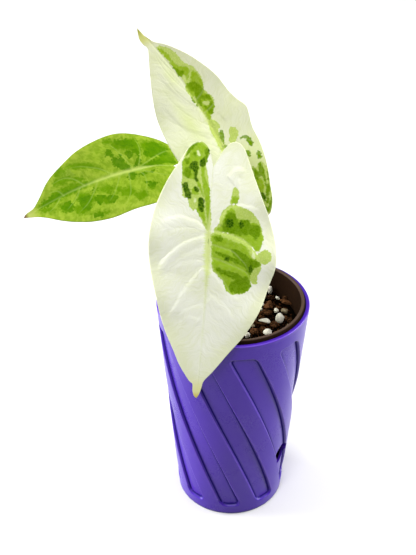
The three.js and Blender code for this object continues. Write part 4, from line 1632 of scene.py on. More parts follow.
@dataclass
class Crown:
    """The short stem at the soil, ringed by old scars, and the sheaths that clasp the stalks' feet."""

    radius: float = 8.0
    bottom: float = 112.0
    shoulder: float = 131.0
    top: float = 136.0
    scars: tuple[float, ...] = (116.0, 120.5, 124.5, 128.5, 131.5)
    sides: int = 96
    scar_swell: float = 0.45
    scar_width: float = 0.55
    sheath_steps: int = 30
    sheath_height: float = 24.0
    sheath_wall: float = 0.45
    skin: StalkSkin = StalkSkin("stem_skin", (168, 178, 110), (196, 190, 140), (112, 84, 54), 131.0)
    sheath_skin: StalkSkin = StalkSkin("sheath_skin", (186, 200, 140), (214, 212, 170), (150, 118, 78), 133.0)

    def build(self, stalks: Sequence[Stalk]) -> None:
        """Builds the stem and a sheath for each stalk."""
        rings = [circle(self.radius * 0.7, self.bottom, self.sides)]
        rings += [self._ring(self.radius, z) for z in np.linspace(self.bottom + 4, self.shoulder, 60)]
        for step in range(1, 12):
            angle = step / 12 * math.pi / 2
            z = self.shoulder + (self.top - self.shoulder) * math.sin(angle)
            rings.append(self._ring(self.radius * math.cos(angle), z))
        points, faces = skin(rings, (0, 0, self.bottom), (0, 0, self.top))
        stem = mesh_object("stem_crown", points, faces)
        dress(stem, self.skin.material())
        settle(stem, "stem_base", "stem_base")
        material = self.sheath_skin.material()
        for stalk in stalks:
            sheath = self._sheath(stalk)
            dress(sheath, material)
            settle(sheath, "stem_base")

    def _ring(self, radius: float, z: float) -> Array:
        """Returns a ring of the stem, swollen at its scars and slightly uneven."""
        ring = circle(1.0, z, self.sides)
        swell = sum(self.scar_swell * math.exp(-(((z - scar) / self.scar_width) ** 2)) for scar in self.scars)
        for point in ring:
            uneven = 0.5 * noise.noise(Vector((point[0] * 1.6, point[1] * 1.6, z * 0.22)))
            point[:2] *= radius + (swell + uneven) * radius / self.radius
        return ring

    def _sheath(self, stalk: Stalk) -> Object:
        """Returns the papery sheath round the outer side of a stalk's foot, open towards the stem's middle."""
        route = stalk.route()
        foot = route[route[:, 2] < self.shoulder + self.sheath_height]
        line = spaced(foot, self.sheath_steps)
        rings = []
        for i, centre in enumerate(line):
            share = i / self.sheath_steps
            ahead = line[min(i + 1, len(line) - 1)] - line[max(i - 1, 0)]
            ahead /= np.linalg.norm(ahead)
            outward = line[0] * (1, 1, 0)
            outward -= np.dot(outward, ahead) * ahead
            outward /= np.linalg.norm(outward)
            beside = np.cross(ahead, outward)
            reach = math.radians(138 - 112 * smooth_share(np.array(share), 0.15, 1.0))
            radius = stalk.foot_radius + 0.5 + 1.3 * (1 - share) ** 2 - 0.5 * share
            angles = np.linspace(-reach, reach, 25)[:, None]
            rings.append(np.vstack([
                centre + far * (np.cos(turn) * outward + np.sin(turn) * beside)
                for far, turn in ((radius, angles), (radius - self.sheath_wall, angles[::-1]))
            ]))
        points, faces = skin(rings, rings[0].mean(0), rings[-1].mean(0))
        return mesh_object(f"sheath_{stalk.shape.name}", points, faces)


# Studio

@dataclass(frozen=True)
class SoftBox:
    """A square soft light that faces the plant."""

    name: str
    place: Triple
    aim: Triple
    size: float
    power: float

    def build(self) -> None:
        """Adds the light."""
        light = bpy.data.lights.new(self.name, "AREA")
        light.shape = "SQUARE"
        light.size = self.size
        light.energy = self.power
        obj = linked(self.name, light)
        obj.location = self.place
        obj.rotation_euler = (Vector(self.aim) - Vector(self.place)).to_track_quat("-Z", "Y").to_euler()


@dataclass
class Studio:
    """A pale floor and surround, soft lights, and the camera; places in metres."""

    camera_place: Triple = (-0.0146, -0.4732, 0.4765)
    camera_tilt: float = 56.18
    lens: float = 64.0
    surround: float = 0.2
    floor_size: float = 8.0
    floor: StudioFloor = StudioFloor()
    lights: tuple[SoftBox, ...] = (
        SoftBox("overhead", (-0.1, 0.2, 2.2), (-0.1, 0.2, 0.0), 3.0, 46.0),
        SoftBox("key", (-0.4, -1.15, 1.42), (0.0, 0.0, 0.17), 0.7, 17.2),
        SoftBox("left_side", (-1.5, 0.3, 0.4), (0.0, 0.0, 0.08), 1.0, 54.0),
        SoftBox("right_side", (1.5, 0.25, 0.5), (0.0, 0.0, 0.08), 1.0, 31.0),
    )

    def build(self) -> None:
        """Builds the studio."""
        scene = bpy.context.scene
        scene.view_settings.view_transform = "Standard"
        self._camera(scene)
        self._floor()
        world = bpy.data.worlds.new("surround")
        world.use_nodes = True
        background = world.node_tree.nodes["Background"]
        background.inputs["Color"].default_value = (1.0, 1.0, 1.0, 1.0)
        background.inputs["Strength"].default_value = self.surround
        scene.world = world
        for light in self.lights:
            light.build()

    def _camera(self, scene: bpy.types.Scene) -> None:
        """Adds the camera and makes it the scene's own."""
        data = bpy.data.cameras.new("camera")
        data.lens = self.lens
        data.clip_start = 0.01
        camera = linked("camera", data)
        camera.location = self.camera_place
        camera.rotation_euler = (math.radians(self.camera_tilt), 0.0, 0.0)
        scene.camera = camera

    def _floor(self) -> None:
        """Adds the floor and keeps it out of diffuse light bounces."""
        half = self.floor_size / 2 / MM
        corners = np.array([(-half, -half, 0), (half, -half, 0), (half, half, 0), (-half, half, 0)])
        floor = mesh_object("studio_floor", corners, [(0, 1, 2, 3)])
        dress(floor, self.floor.material())
        floor.visible_diffuse = False


# The three leaves. Places are in millimetres on the leaf: along the midrib from the junction, and across.

CREAM_SKIN = BladeSkin(
    name="cream_leaf", ground=(236, 238, 222), ground_warm=(225, 229, 194),
    greens=((185, 206, 102), (140, 176, 34), (92, 132, 0), (32, 76, 0)),
    vein=(222, 230, 160), midrib=(212, 224, 144), underside=(232, 234, 214), tip=(222, 222, 160),
    point=(206, 192, 96), tip_reach=(80.0, 90.0, 94.0),
)
BACK_SKIN = BladeSkin(
    name="back_cream_leaf", ground=(242, 245, 214), ground_warm=(229, 234, 184), rim_warmth=0.1,
    greens=((206, 224, 120), (156, 190, 34), (110, 150, 0), (60, 104, 0)), gap=(208, 223, 132),
    feather=(216, 230, 132), vein=(218, 228, 156), bare_vein=0.75, midrib=(204, 220, 116),
    underside=(232, 234, 206), tip=(214, 216, 130), point=(160, 158, 40), tip_reach=(76.0, 84.0, 90.0),
)
GREEN_SKIN = BladeSkin(
    name="green_leaf", ground=(130, 158, 36), ground_warm=(142, 163, 50),
    greens=((150, 170, 62), (86, 126, 0), (66, 112, 0), (46, 90, 0)), vein=(162, 184, 90),
    underside=(150, 176, 80), tip=(160, 170, 86), point=(84, 42, 18), tip_reach=(58.0, 64.0, 67.0),
    midrib=(184, 200, 106), mottle=0.5, cell=1.6, margin=(112, 136, 28), feather=(140, 164, 56), bare_vein=0.7,
    vein_share=0.36, ragged=1.8, soft=0.4, mid_soft=0.9,
)

FRONT_PATTERN = Pattern(CREAM_SKIN, patches={
    Tone.PALE: (
        (0, 2.5, -4, 5, -9.5, 6, -14, 11, -12.5, 18, -11, 21.5, -5, 26.5, 2.5, 29, 8.5, 27.5, 9.5, 26, 5.5, 21,
         3, 15.5, 0.5, 9.5),
        (1.5, 1.5, 1, 9, 2, 13.5, 4, 18.5, 7.5, 23, 14, 27.5, 18.5, 29, 24, 27.5, 27.5, 27.5, 27, 25, 25, 24,
         29, 24.5, 32, 22.5, 33.5, 18, 33, 13, 25.5, 8.5, 20.5, 3.5, 7, 2),
        (-22, 11, -23, 13, -18, 14.5, -15, 12, -15, 10, -19.5, 11),
        (-36.5, -15.5, -40.5, -14, -44, -11.5, -45.5, -7, -45, -4, -41, -2.5, -33.5, -3.8, -23, -1.5,
         -13.5, -0.5, -4.5, 0.5, 0, -1, -7.5, -5.5, -11, -7, -10.5, -10, -16, -12, -17, -14.5, -21.5, -15.5,
         -31.5, -16),
    ),
    Tone.MID: (
        (-41, -12, -42, -9, -40, -5.5, -35, -5.5, -33, -9, -36, -12.5),
        (-0.5, 4, -4, 6.5, -11, 9, -12, 12.5, -7, 14, -7, 19, -5.5, 21, -4.5, 26, 4, 29, 8.5, 27.5, 9, 25.5,
         4.5, 20, 2, 15, 0.5, 9.5),
        (3, 2, 2, 5.5, 4, 10, 6.5, 18, 9.5, 21.5, 13, 23, 14.5, 26.5, 17.5, 28.5, 19, 25, 22.5, 23.5, 29, 24.5,
         32, 22.5, 33, 18, 32.5, 13, 25.5, 8.5, 20.5, 4, 8.5, 2.5),
        (-40.5, -14, -43, -11.5, -45, -8.5, -44.5, -5.5, -41.5, -3, -36.5, -4.5, -41.5, -7, -41.5, -9.5,
         -40.5, -12.5),
        (-35, -16, -37, -13.5, -36, -8, -32, -7.5, -26.5, -9.5, -27.5, -13.5, -29, -16),
        (-11.5, -7, -16, -6.5, -16, -4, -9.5, -3, -4, -2.5, -8.5, -6),
        (-33, -6.5, -33.5, -4.5, -27, -4, -22.5, -1.5, -13.5, -0.5, -3.5, 0, -1, -1, -9.5, -2, -18, -3.5,
         -24, -5),
        (-25.5, -8.5, -25, -6.5, -17.5, -4, -22.5, -7),
    ),
    Tone.DARK: (
        (-0.5, 7, -9.5, 9, -10, 12, -5, 15.5, -6.5, 17.5, -6.5, 20.5, -4, 22, -4, 26, -1, 27, 3.5, 25.5,
         1, 22.5, 1.5, 18.5, 0, 9),
        (11, 4, 11.5, 8, 13, 12.5, 15, 17, 17, 18.5, 16.5, 15, 13, 7),
        (10, 12, 9, 14.5, 11.5, 19.5, 14, 23, 15, 27, 17.5, 28, 18.5, 25, 22.5, 23.5, 19.5, 21, 12, 14),
        (19.5, 5.5, 21, 10.5, 22, 16, 24, 19.5, 25.5, 16, 22.5, 7.5),
        (31.5, 13.5, 27.5, 14, 23.5, 21, 25.5, 23, 29, 24.5, 32, 22, 33, 17.5),
        (-38.5, -14.5, -43.5, -12, -45.5, -9, -44, -9.5, -39, -13.5),
        (-33.5, -7, -36.5, -6.5, -38.5, -4.5, -41, -5, -43, -3.5, -38.5, -3, -33.5, -4.5),
    ),
    Tone.DEEP: (
        (-32, -12, -34.5, -11.5, -35.5, -9.5, -33, -8, -28, -8.5, -25.5, -7.5, -25.5, -9, -30.5, -10),
        (-23, -15.5, -24.5, -13, -21.5, -12.5, -19, -11, -16.5, -11, -16.5, -13, -19.5, -14),
        (-16, -6.5, -17, -5.5, -16, -4, -13.5, -3.5, -10, -4, -10.5, -5.5, -12.5, -6.5),
        (-34, -7, -36.5, -6.5, -37, -5, -34, -4.5, -33, -6),
    ),
    Tone.BARE: (
        (-40.5, -9, -41, -8, -38.5, -7, -38.5, -8.5),
        (14, 25, 12, 23.5, 9, 24, 12, 25.5),
    ),
}, spots={
    Tone.PALE: (Spot(12.5, 30.5, 3.7, 3.5),),
    Tone.MID: (Spot(-16.8, 12.5, 2.0, 1.6), Spot(-20.3, -8.5, 2.2, 1.8)),
    Tone.DARK: (
        Spot(4, 5.5, 1.5, 2.2), Spot(-35.3, -13.7, 1.4, 1.1), Spot(-29.5, -13.2, 2.6, 1.8),
        Spot(-38.6, -9.9, 1.1, 0.7, 20),
    ),
    Tone.DEEP: (
        Spot(-4.5, 10.5, 2.4, 2.0), Spot(-4.2, 16.6, 1.6, 1.0, 20), Spot(14.5, 10.7, 1.0, 1.2),
        Spot(19.4, 23.5, 1.5, 0.9), Spot(-21.2, -8, 1.4, 1.0, 35), Spot(-41.8, -2.9, 1.0, 0.5),
    ),
    Tone.BARE: (Spot(-15.2, -8.4, 1.3, 0.8),),
}, folds=(
    (0.41, (0, -1, -2.5, -3.5, -5, -6.5, -6, -11, -7.5, -15.5, -6.5, -20, -4.5, -24.5, -1.5, -28)),
    (0.57, (2, -1, 3, -5, 5, -9.5, 7, -13.5, 10.5, -17.5, 14, -21, 18, -24, 22, -25.5, 26, -25.5)),
    (0.49, (17.5, -1, 21.5, -4, 25.5, -7, 30, -10, 35, -13, 40, -15, 45, -17.5, 49, -19)),
    (0.2, (8.5, -1.5, 10.5, -6, 12.5, -10, 14, -13.5, 17.5, -16.5, 20.5, -18.5)),
    (0.16, (-0.5, -1.5, -1, -8, -1, -13.5, 0, -18.5, 3.5, -24)),
    (0.16, (15, -0.5, 15.5, -2.5, 17, -10, 19, -15.5, 22, -18.5)),
    (0.2, (40.5, 0.5, 41, -4, 42, -8, 45.5, -12.5, 52.5, -12.5)),
    (0.2, (48.5, 0, 47.5, -2.5, 47, -9, 52, -12.5, 60, -13)),
    (0.24, (34, 4, 39.5, 11.5, 48, 18)),
    (0.24, (20, 2, 28, 9, 33.5, 15, 37, 21.5)),
    (0.41, (0, 1.5, 1.5, 9.5, 3.5, 16, 7.5, 23, 12.5, 27, 16, 28.5)),
    (0.24, (9, 2.5, 9.5, 9, 11, 14, 16, 19, 19, 22)),
    (0.28, (14, 2.5, 17, 7.5, 18, 13, 19.5, 18.5, 23, 22.5, 26.5, 24)),
    (0.41, (-4.5, 3.5, -6, 4.5, -11.5, 8.5, -14, 13, -15, 17, -14, 23, -11.5, 27)),
    (0.49, (-29, 7, -30, 8, -32.5, 10, -34, 13, -33.5, 16, -32, 18)),
), veins=(
    (-0.5, -0.5, -9.5, -2.5, -17.5, -4, -24, -5.5, -29, -6.5, -36, -7.5, -41, -9),
    (-14.5, -3, -18.5, -5, -23, -8, -25.5, -11, -27, -15.5),
    (1, 0, -4, -4.5, -6.5, -11, -6.5, -18, -2.5, -27.5),
    (2, -0.5, -0.5, -9, -0.5, -16.5, 5.5, -25.5),
    (2.5, 0, 4, -6.5, 6.5, -13, 10.5, -18.5, 17, -23.5, 25, -26),
    (6.5, 0, 8.5, -5.5, 13, -10.5, 20.5, -16.5, 29.5, -19.5),
    (16, 0.5, 18.5, -2, 23.5, -8, 29.5, -12, 37, -14.5, 47.5, -16.5),
    (29, 0.5, 34, -4.5, 41.5, -8, 50.5, -10, 59.5, -10),
    (42, 1, 47.5, -2.5, 55.5, -4.5, 64.5, -4.5),
    (54.5, 1, 59, -1, 66, -2),
    (0, 0.5, -4, 3.5, -10, 6.5, -17, 7.5, -27, 8.5, -34.5, 8),
    (-7, 5, -13, 10, -15.5, 16.5, -11.5, 24.5),
    (0, 1.5, 1, 9.5, 2.5, 15, 5, 20.5, 8, 24, 12.5, 27.5, 18.5, 29.5),
    (7, 1, 9, 8.5, 10.5, 13.5, 14, 17.5, 17.5, 21, 23, 23.5),
    (14, 1.5, 15.5, 7, 17.5, 12.5, 19.5, 18, 21.5, 21.5, 26, 24, 36.5, 26),
    (17, 1, 22, 5, 25.5, 9, 32.5, 13.5, 39.5, 16.5, 48, 18.5),
    (30, 1, 35, 4.5, 39, 9, 45, 13.5, 52.5, 15),
    (42, 1, 46, 4.5, 51, 9, 58.5, 11),
    (54.5, 1, 58.5, 4, 64.5, 6.5),
))

BACK_PATTERN = Pattern(BACK_SKIN, patches={
    Tone.WASH: (
        (8, -2, 4, -10, -2, -17, -12, -20, -26, -17, -38, -10, -44, -3, -44, 3, -32, 2, -18, 0, -6, 1),
    ),
    Tone.PALE: (
        (75.5, -2.5, 71.5, -7, 64, -9, 61.5, -9, 58.5, -10.5, 54, -12.5, 46.5, -12, 42.5, -10, 39, -11,
         35, -11.5, 30.5, -9, 28, -7, 28.5, -6, 25.5, -3.5, 35, -3, 47, -2.5, 50.5, -4, 54.5, -4, 64.5, -3.5),
        (15.5, -9.5, 15.5, -11.5, 13, -12.5, 10.5, -12, 8, -8, 9.5, -6, 12.5, -8),
        (26.5, -4, 23.5, -6, 19.5, -6, 18.5, -4, 8, -0.5, 8.5, 0.5, 16.5, -0.5, 23.5, -1.5),
        (-10, -8, -11.5, -9.5, -10, -12.5, -11, -14, -16.5, -14, -22.5, -12, -32.5, -7, -36.5, -4.5, -38.5, -1,
         -35, -1, -25, -3.5, -17.5, -5.5),
    ),
    Tone.MID: (
        (74.5, -2.5, 71, -4.5, 65, -5, 60.5, -6, 58, -9, 55.5, -9.5, 53, -7.5, 52, -5.5, 55, -6, 54.5, -4,
         59, -3.5, 66.5, -3.5),
        (52, -8.5, 53.5, -10, 52.5, -11.5, 45.5, -11.5, 42, -9.5, 36, -11, 32, -10, 28.5, -7.5, 28.5, -6,
         25.5, -3.5, 33.5, -4, 47.5, -3, 49.5, -4, 49.5, -6.5),
        (-16.5, -6, -18.5, -8.5, -23.5, -7.5, -26, -5.5, -25.5, -4, -20, -5),
    ),
    Tone.DARK: (
        (62, -3.5, 59.5, -5, 56, -6.5, 55, -3.5, 58.5, -3.5),
        (49, -3.5, 49.5, -6, 47.5, -9, 43, -10, 41, -8.5, 40, -6, 43.5, -6, 46, -4.5),
        (44, -6, 39, -8, 37, -7.5, 38.5, -6, 35, -4.5, 37, -4, 40, -4),
        (39, -9.5, 38.5, -10.5, 35.5, -10.5, 36, -9.5, 37.5, -8.5),
        (34.5, -9.5, 33, -10, 28.5, -7.5, 29, -6, 31.5, -5.5, 34, -5.5, 32.5, -7),
        (17.5, -4.5, 17.5, -5.5, 16, -6, 13.5, -4.5, 10.5, -3, 11.5, -2.5, 15, -3),
        (7, -11, 8, -12, 7.5, -15, 5, -16, 2.5, -16, 0.5, -15, 1, -14, 4.5, -13.5, 5, -14.5, 7, -13),
        (-10.5, -8, -13, -9, -16, -9.5, -13.5, -10, -10, -13, -15, -12.5, -22, -9.5, -17.5, -9.5, -17.5, -8,
         -18, -6.5, -16, -6),
        (-17, -13.5, -22.5, -11.5, -27.5, -9, -27, -7.5, -22.5, -8.5, -23.5, -10, -20, -12),
        (-26, -7, -26.5, -9, -30.5, -6, -33.5, -4.5, -32.5, -3, -30.5, -5),
        (-34.5, -1.5, -35, -3, -31, -7.5, -33.5, -6.5, -36.5, -3.5, -38, -1),
    ),
    Tone.BARE: (
        (54.5, -4.5, 55, -6, 53, -5.5, 51, -4),
        (37, -5.5, 36.5, -7, 35, -9, 33.5, -8, 34.5, -6),
        (42, -3, 42, -4.5, 40.5, -4, 38, -3),
    ),
}, spots={
    Tone.WASH: (Spot(30, 6, 20, 2.8), Spot(-5, -18, 10, 4.5), Spot(59, 0, 9, 2.5)),
    Tone.DARK: (
        Spot(40.5, -2.5, 1.2, 0.5), Spot(36.8, -2.7, 0.8, 0.4), Spot(8.5, -2.2, 0.6, 1.3),
        Spot(-2, -10.8, 1.6, 1.0), Spot(-6.6, -14.7, 2.0, 1.1, -20),
    ),
    Tone.DEEP: (Spot(-28.3, -4, 2.4, 1.0, -5),),
}, folds=(
    (0.26, (17, 1.5, 20.5, 4, 24.5, 6.5, 30.5, 10.5, 38, 12, 44, 13, 48.5, 15)),
    (0.19, (35.5, -1.5, 39.5, 0.5, 44.5, 2.5, 53, 4.5, 61.5, 5.5, 66, 4.5)),
    (0.16, (9.5, 1, 11, 5, 14, 9.5, 19, 14.5, 27, 18)),
    (0.16, (47.5, -2.5, 55, -1, 62, -0.5, 68.5, -1)),
    (0.19, (19.5, -3.5, 22, -9, 25.5, -13.5, 31, -19, 36.5, -23)),
    (0.19, (20, -10, 21.5, -17.5, 24.5, -22.5)),
), veins=(
    (1.5, 0, 10, 1, 17, 5.5, 22.5, 12, 26, 21.5),
    (9.5, -1, 18, 0.5, 25, 5.5, 32, 10.5, 42, 15, 50, 14),
    (22, -2.5, 28.5, 1, 37, 5, 48.5, 7.5, 60.5, 7.5),
    (33.5, -3, 40.5, 0, 51, 2.5, 65, 3),
    (44.5, -3, 53, -0.5, 63, 1, 72.5, 1),
    (57, -3, 64, -1, 72, 0),
    (8.5, -1.5, 9.5, -7.5, 13, -15, 20, -21.5),
    (21, -2.5, 23, -9.5, 28.5, -15.5, 37, -18.5),
    (31, -3, 32.5, -10.5, 37, -15, 45.5, -17),
    (39.5, -3, 42, -9.5, 47.5, -13.5, 55, -14.5),
    (53, -3.5, 54, -8.5, 59, -11, 65, -10.5),
    (64.5, -3, 66, -6, 70.5, -7),
    (0.5, -0.5, -1, -6, -7, -9, -11.5, -16),
    (0, -1, -7.5, -3.5, -18, -4, -30.5, -3),
    (0.5, 0.5, -4, 6, -12, 10, -24, 13, -33, 14),
    (-5, 7, -9, 14, -8, 22),
    (1, 0.5, 2, 8, 6, 16, 12, 21),
))

LEFT_PATTERN = Pattern(GREEN_SKIN, patches={
    Tone.MID: (
        (44.5, -12.5, 40, -13, 35.5, -11.5, 37.5, -8.5, 42.5, -8.5, 45.5, -10),
        (24, 1.5, 17.5, 3.5, 17.5, 7, 23, 5.5),
        (13.5, 8.5, 7.5, 9.5, 7.5, 14, 12.5, 14.5, 14, 11.5),
        (7.5, 14, 1.5, 15, 2, 19, 7.5, 18.5),
        (11, -23, 7.5, -22.5, 6.5, -19.5, 11, -19.5),
        # Painted shade along the upper side of the first side vein
        (33, -17.5, 25.5, -15, 20.5, -11.5, 17.5, -7.5, 20, -7.5, 26, -11, 32, -13.5),
        (-8.5, -14.5, -15.5, -14, -20.5, -11, -24, -7.5, -15, -6.5, -11, -4, -7.5, -5, -7.5, -9),
        (5.5, -20, -5.5, -17.5, -7, -13, -5.5, -8.5, 2.5, -12.5, 6.5, -15.5, 8, -18),
        (-0.5, 0, -14.5, -4, -22, -5.5, -24.5, -0.5, -24, 2, -8.5, 1),
        (-1.5, 14, -4.5, 10.5, -6.5, 11.5, -4.5, 14.5),
        # Painted shade along the upper side of the midrib, where the blade folds
        (58, -2, 52.5, -5, 44.5, -6.5, 36.5, -6.5, 28.5, -5, 24.5, -2, 34, -1, 46, -0.5),
        # Painted shade along the upper side of the first side vein
        (35.5, -16.5, 30.5, -16.5, 25, -14.5, 21, -10.5, 26, -13, 31, -14.5),
        (35.5, 0.5, 30.5, 2.5, 26.5, 7.5, 28, 10, 33.5, 9.5, 37, 6.5),
        (39.5, 7, 34.5, 9.5, 33.5, 12, 37.5, 13.5, 41, 11),
        (47, 2, 42.5, 3, 41, 6.5, 43.5, 8, 47.5, 6),
        (26, 7, 21.5, 9, 20.5, 12, 23.5, 13.5, 27, 10.5),
        (20.5, 5.5, 17.5, 6.5, 19, 9, 21.5, 7.5),
        (16, 6.5, 13.5, 7, 12.5, 9.5, 16, 10),
        (57.5, -1, 52.5, 0.5, 50, 4, 53.5, 4, 57.5, 1.5),
        (33.5, 15, 29, 16, 24, 18, 28, 18.5, 33, 16.5),
        (41.5, -18, 37.5, -18, 36.5, -14, 41, -12.5, 43.5, -14.5),
        (37, -10.5, 31.5, -9, 28, -5.5, 33, -6, 37, -8),
    ),
    Tone.DARK: (
        # Painted shade along the upper side of the midrib, where the blade folds
        (55.5, -3, 50.5, -5, 44.5, -4.5, 38.5, -4, 35, -3, 37, -1.5, 43, -1.5, 49, -1, 54.5, -0.5),
        (46, 2, 41, 3, 40.5, 6.5, 43, 9, 46.5, 6.5),
        (36.5, 3, 32, 3.5, 30, 6, 31, 10, 34.5, 12.5, 37, 9.5),
        (28, 7, 24, 6.5, 23.5, 9, 26, 12, 29, 11),
        (22, 9, 17.5, 10, 17, 12.5, 20.5, 14, 23, 12),
        (33, 15.5, 28.5, 17, 28.5, 19, 32.5, 18.5),
        (5.5, -20, 0, -19, -4, -16, -5, -13, 0, -14, 4, -17),
        (-11, -12.5, -16, -12.5, -20.5, -9, -21, -5, -14, -4, -10.5, -7),
        (12, -16, 9.5, -16, 8, -9.5, 6, -11.5, 5, -11, 5, -7.5, 3, -1, 8.5, -3, 10.5, -6, 11, -9, 10.5, -11.5,
         12.5, -13.5),
        (-2, -11.5, -5, -10, -5, -7.5, -4, -6, -4.5, -3.5, -1, -1.5, 1, -2, -2.5, -6),
        (-8, -8.5, -12, -8.5, -16, -7, -15.5, -5.5, -11, -4, -8, -5.5),
        (-2, -0.5, -12, -2, -17.5, -1, -24, 1, -9, 0.5),
        # Painted shade along the upper side of the midrib, where the blade folds
        (57.5, -1.5, 52, -3, 45.5, -4, 39.5, -4, 33, -3, 28, -3, 34.5, -1.5, 43, -1.5, 51.5, -1),
        (4.5, 3, 3, 3, 3, 7, 4.5, 5),
    ),
    Tone.PALE: (
        (39.5, -15.5, 34, -14, 34, -10, 40, -10),
    ),
}, spots={
    Tone.DARK: (
        Spot(4, 3, 2.6, 2, 20), Spot(-2, 4.5, 2.4, 1.3), Spot(-3.5, 12.5, 2.6, 1.6, -30),
        Spot(26.5, 2.5, 1.2, 1), Spot(-2, 10.5, 1.6, 1), Spot(0.9, -9.5, 2.0, 2.1),
        Spot(-14.3, -10.5, 2.6, 0.9, -15), Spot(-7.5, 4.7, 2.0, 0.8), Spot(-2.1, 4.7, 1.1, 1.2),
        Spot(2.2, 2.5, 0.9, 0.6), Spot(6.7, 3, 0.5, 0.6), Spot(26.5, 2.7, 0.9, 0.8), Spot(43.4, 5.2, 1.2, 1.0),
        Spot(13.5, -13, 1.0, 0.4, 25),
    ),
}, folds=(
    (0.32, (15.5, -3.5, 18, -6.5, 21, -9, 25, -12, 29, -14.5, 34, -16.5, 38, -17, 43.5, -15.5)),
    (0.28, (1, -1, 3, -6, 4.5, -11.5, 7.5, -17.5, 10, -22.5)),
    (0.24, (-1.5, -1, -5, -5.5, -6.5, -11.5, -6.5, -17.5)),
    (0.24, (-1.5, -1, -8.5, -3, -16.5, -5, -23.5, -6)),
    (0.24, (28.5, -2.5, 31.5, -6.5, 36, -9.5, 42.5, -11.5, 48, -11)),
    (0.24, (9.5, -1.5, 12.5, 2.5, 16, 6, 20.5, 9, 25, 12)),
    (0.24, (0, 1, -2, 4.5, -2, 10.5, -0.5, 15, 3, 20.5)),
    (0.2, (22.5, -2, 26, 2, 31.5, 5, 37, 7)),
    (0.2, (35, -1, 39.5, 1.5, 45, 2.5, 49.5, 2.5)),
), veins=(
    (14, -2.5, 19, -8, 24.5, -11.5, 29.5, -14, 36, -15.5),
    (2, -0.5, 4, -8.5, 7, -16, 10, -21),
    (-1, -0.5, -5, -7, -6.5, -12.5, -6, -18),
    (0, 0, -9.5, -3, -18.5, -6, -24, -7),
    (30.5, -2.5, 34.5, -8.5, 40, -11.5, 49, -10.5),
    (43, -2, 45.5, -6.5, 52, -7),
    (9.5, -1.5, 13, 3.5, 17, 8.5, 22.5, 13),
    (0, 0.5, -2, 5, -1.5, 9.5, 0, 13, 2.5, 19.5),
    (22.5, -2.5, 26.5, 2.5, 33, 8.5, 40.5, 12),
    (33.5, -2, 37.5, 2.5, 45.5, 7.5),
    (45.5, -1.5, 49.5, 1.5, 54.5, 3.5),
    (5, -1, 7, 6.5, 10, 13.5, 16, 19.5),
    (-1, 0.5, -7.5, 1, -13.5, 1.5, -19, 3),
    (0, 0.5, -7, 5, -15, 9, -22, 11),
))

FRONT_LEAF = LeafShape(
    name="front",
    junction=(-14.1, -30, 209.2), to_tip=(-0.074, -0.366, -0.928), upward=(0.078, -0.929, 0.36),
    bow=0.8, bend=(0.0012, 0.004), fold=(0.1, 0.1), fold_width=8, arch=0.006, wave=(1.1, 34, 6),
    sinus=(-33, 0), tip=(94.5, 0.4),
    right=(-37, 2.4, -41.6, 4.6, -45.6, 8, -46.6, 11.5, -44.2, 15.2, -38.8, 17.9, -29, 22, -18, 26.9, -7, 32,
           5, 36, 17, 37, 27, 35, 37.5, 32.4, 46, 29, 57.7, 22.9, 68.7, 14.9, 78.4, 8.1, 84.2, 3.7, 88.5, 2.7,
           92.2, 1.7),
    left=(-37, -0.9, -41.5, -2.3, -45, -5, -45.8, -8, -43, -12.8, -36, -17, -27, -22.4, -16, -27, -4, -30.4,
          9, -31.3, 22, -29.6, 39, -25, 48, -22.4, 57, -19, 66, -14.6, 75, -10.4, 83.7, -4.8, 86, -2.4, 90, -2,
          92.9, -1.1),
    stalk=((0.5, -4.2, 130), (-1, -5.5, 155), (-4.5, -6.5, 182), (-10, -13.5, 202)),
)

BACK_LEAF = LeafShape(
    name="back",
    junction=(-2.5, 12, 228.3), to_tip=(-0.548, 0.046, 0.835), upward=(0.224, -0.954, 0.199),
    bow=-3.3, bend=(-0.002, 0), fold=(0.1, 0.3), fold_width=5, arch=0.01, wave=(1.2, 30, 20),
    sinus=(-27, 5), tip=(89.8, 0.4),
    right=(-31, 7, -35.5, 10, -37.5, 14, -36, 18.5, -30, 21.8, -20, 24, -8, 25, 4, 24.5, 16.3, 23.2, 27.7, 22.3,
           39.4, 20.2, 49.4, 16.9, 59.3, 12.2, 69.5, 6.5, 76.5, 2.4, 78.7, 1.9, 81, 2.6, 84, 2.7, 86.6, 1.9),
    left=(-31.5, 4.3, -36.5, 2.8, -39.3, -0.2, -38, -3, -33, -7, -26.7, -10, -14, -15.3, -1, -19.2, 10, -20.6,
          18, -23.2, 22, -23.8, 28, -21.8, 35, -20.5, 44, -19.9, 53, -17.5, 63.5, -13.3, 73, -7.7, 78.8, -2.7,
          81.4, -1.6, 84.4, -0.4, 87, 0.4),
    stalk=((3.2, 2.8, 130), (4.5, 8, 155), (4.5, 16, 185), (1.5, 21, 212)),
)

LEFT_LEAF = LeafShape(
    name="left",
    junction=(-54, 16, 221.6), to_tip=(-0.899, -0.401, -0.179), upward=(0.082, -0.553, 0.829),
    bow=-2.4, bend=(0.004, 0.03), fold=(0.2, 0.25), fold_width=5, arch=0.01, wave=(0.9, 26, 4),
    sinus=(-21, 3), tip=(67.4, -0.8),
    right=(-25, 5.5, -28, 9.5, -28, 14, -24, 18, -16, 21.5, -8, 23.2, 0, 23.6, 12, 22.9, 24, 22.1, 34.4, 20.1,
           42.2, 16.3, 49.6, 11.3, 56.6, 5.4, 60.3, 2.8, 64.2, 0.8),
    left=(-25, 1.5, -28.5, -1, -30, -4.5, -28.5, -8, -24.3, -11, -19.4, -14.2, -11.3, -18.5, -3, -22,
          5.7, -24.4, 14, -25, 22, -23.9, 31, -21.5, 42.6, -16.7, 49, -12.9, 54.5, -8, 58.5, -4.7, 61, -3.1,
          65.5, -2.2),
    stalk=((-4, 1.8, 130), (-10, 5, 156), (-22, 12, 185), (-40, 20, 207)),
)

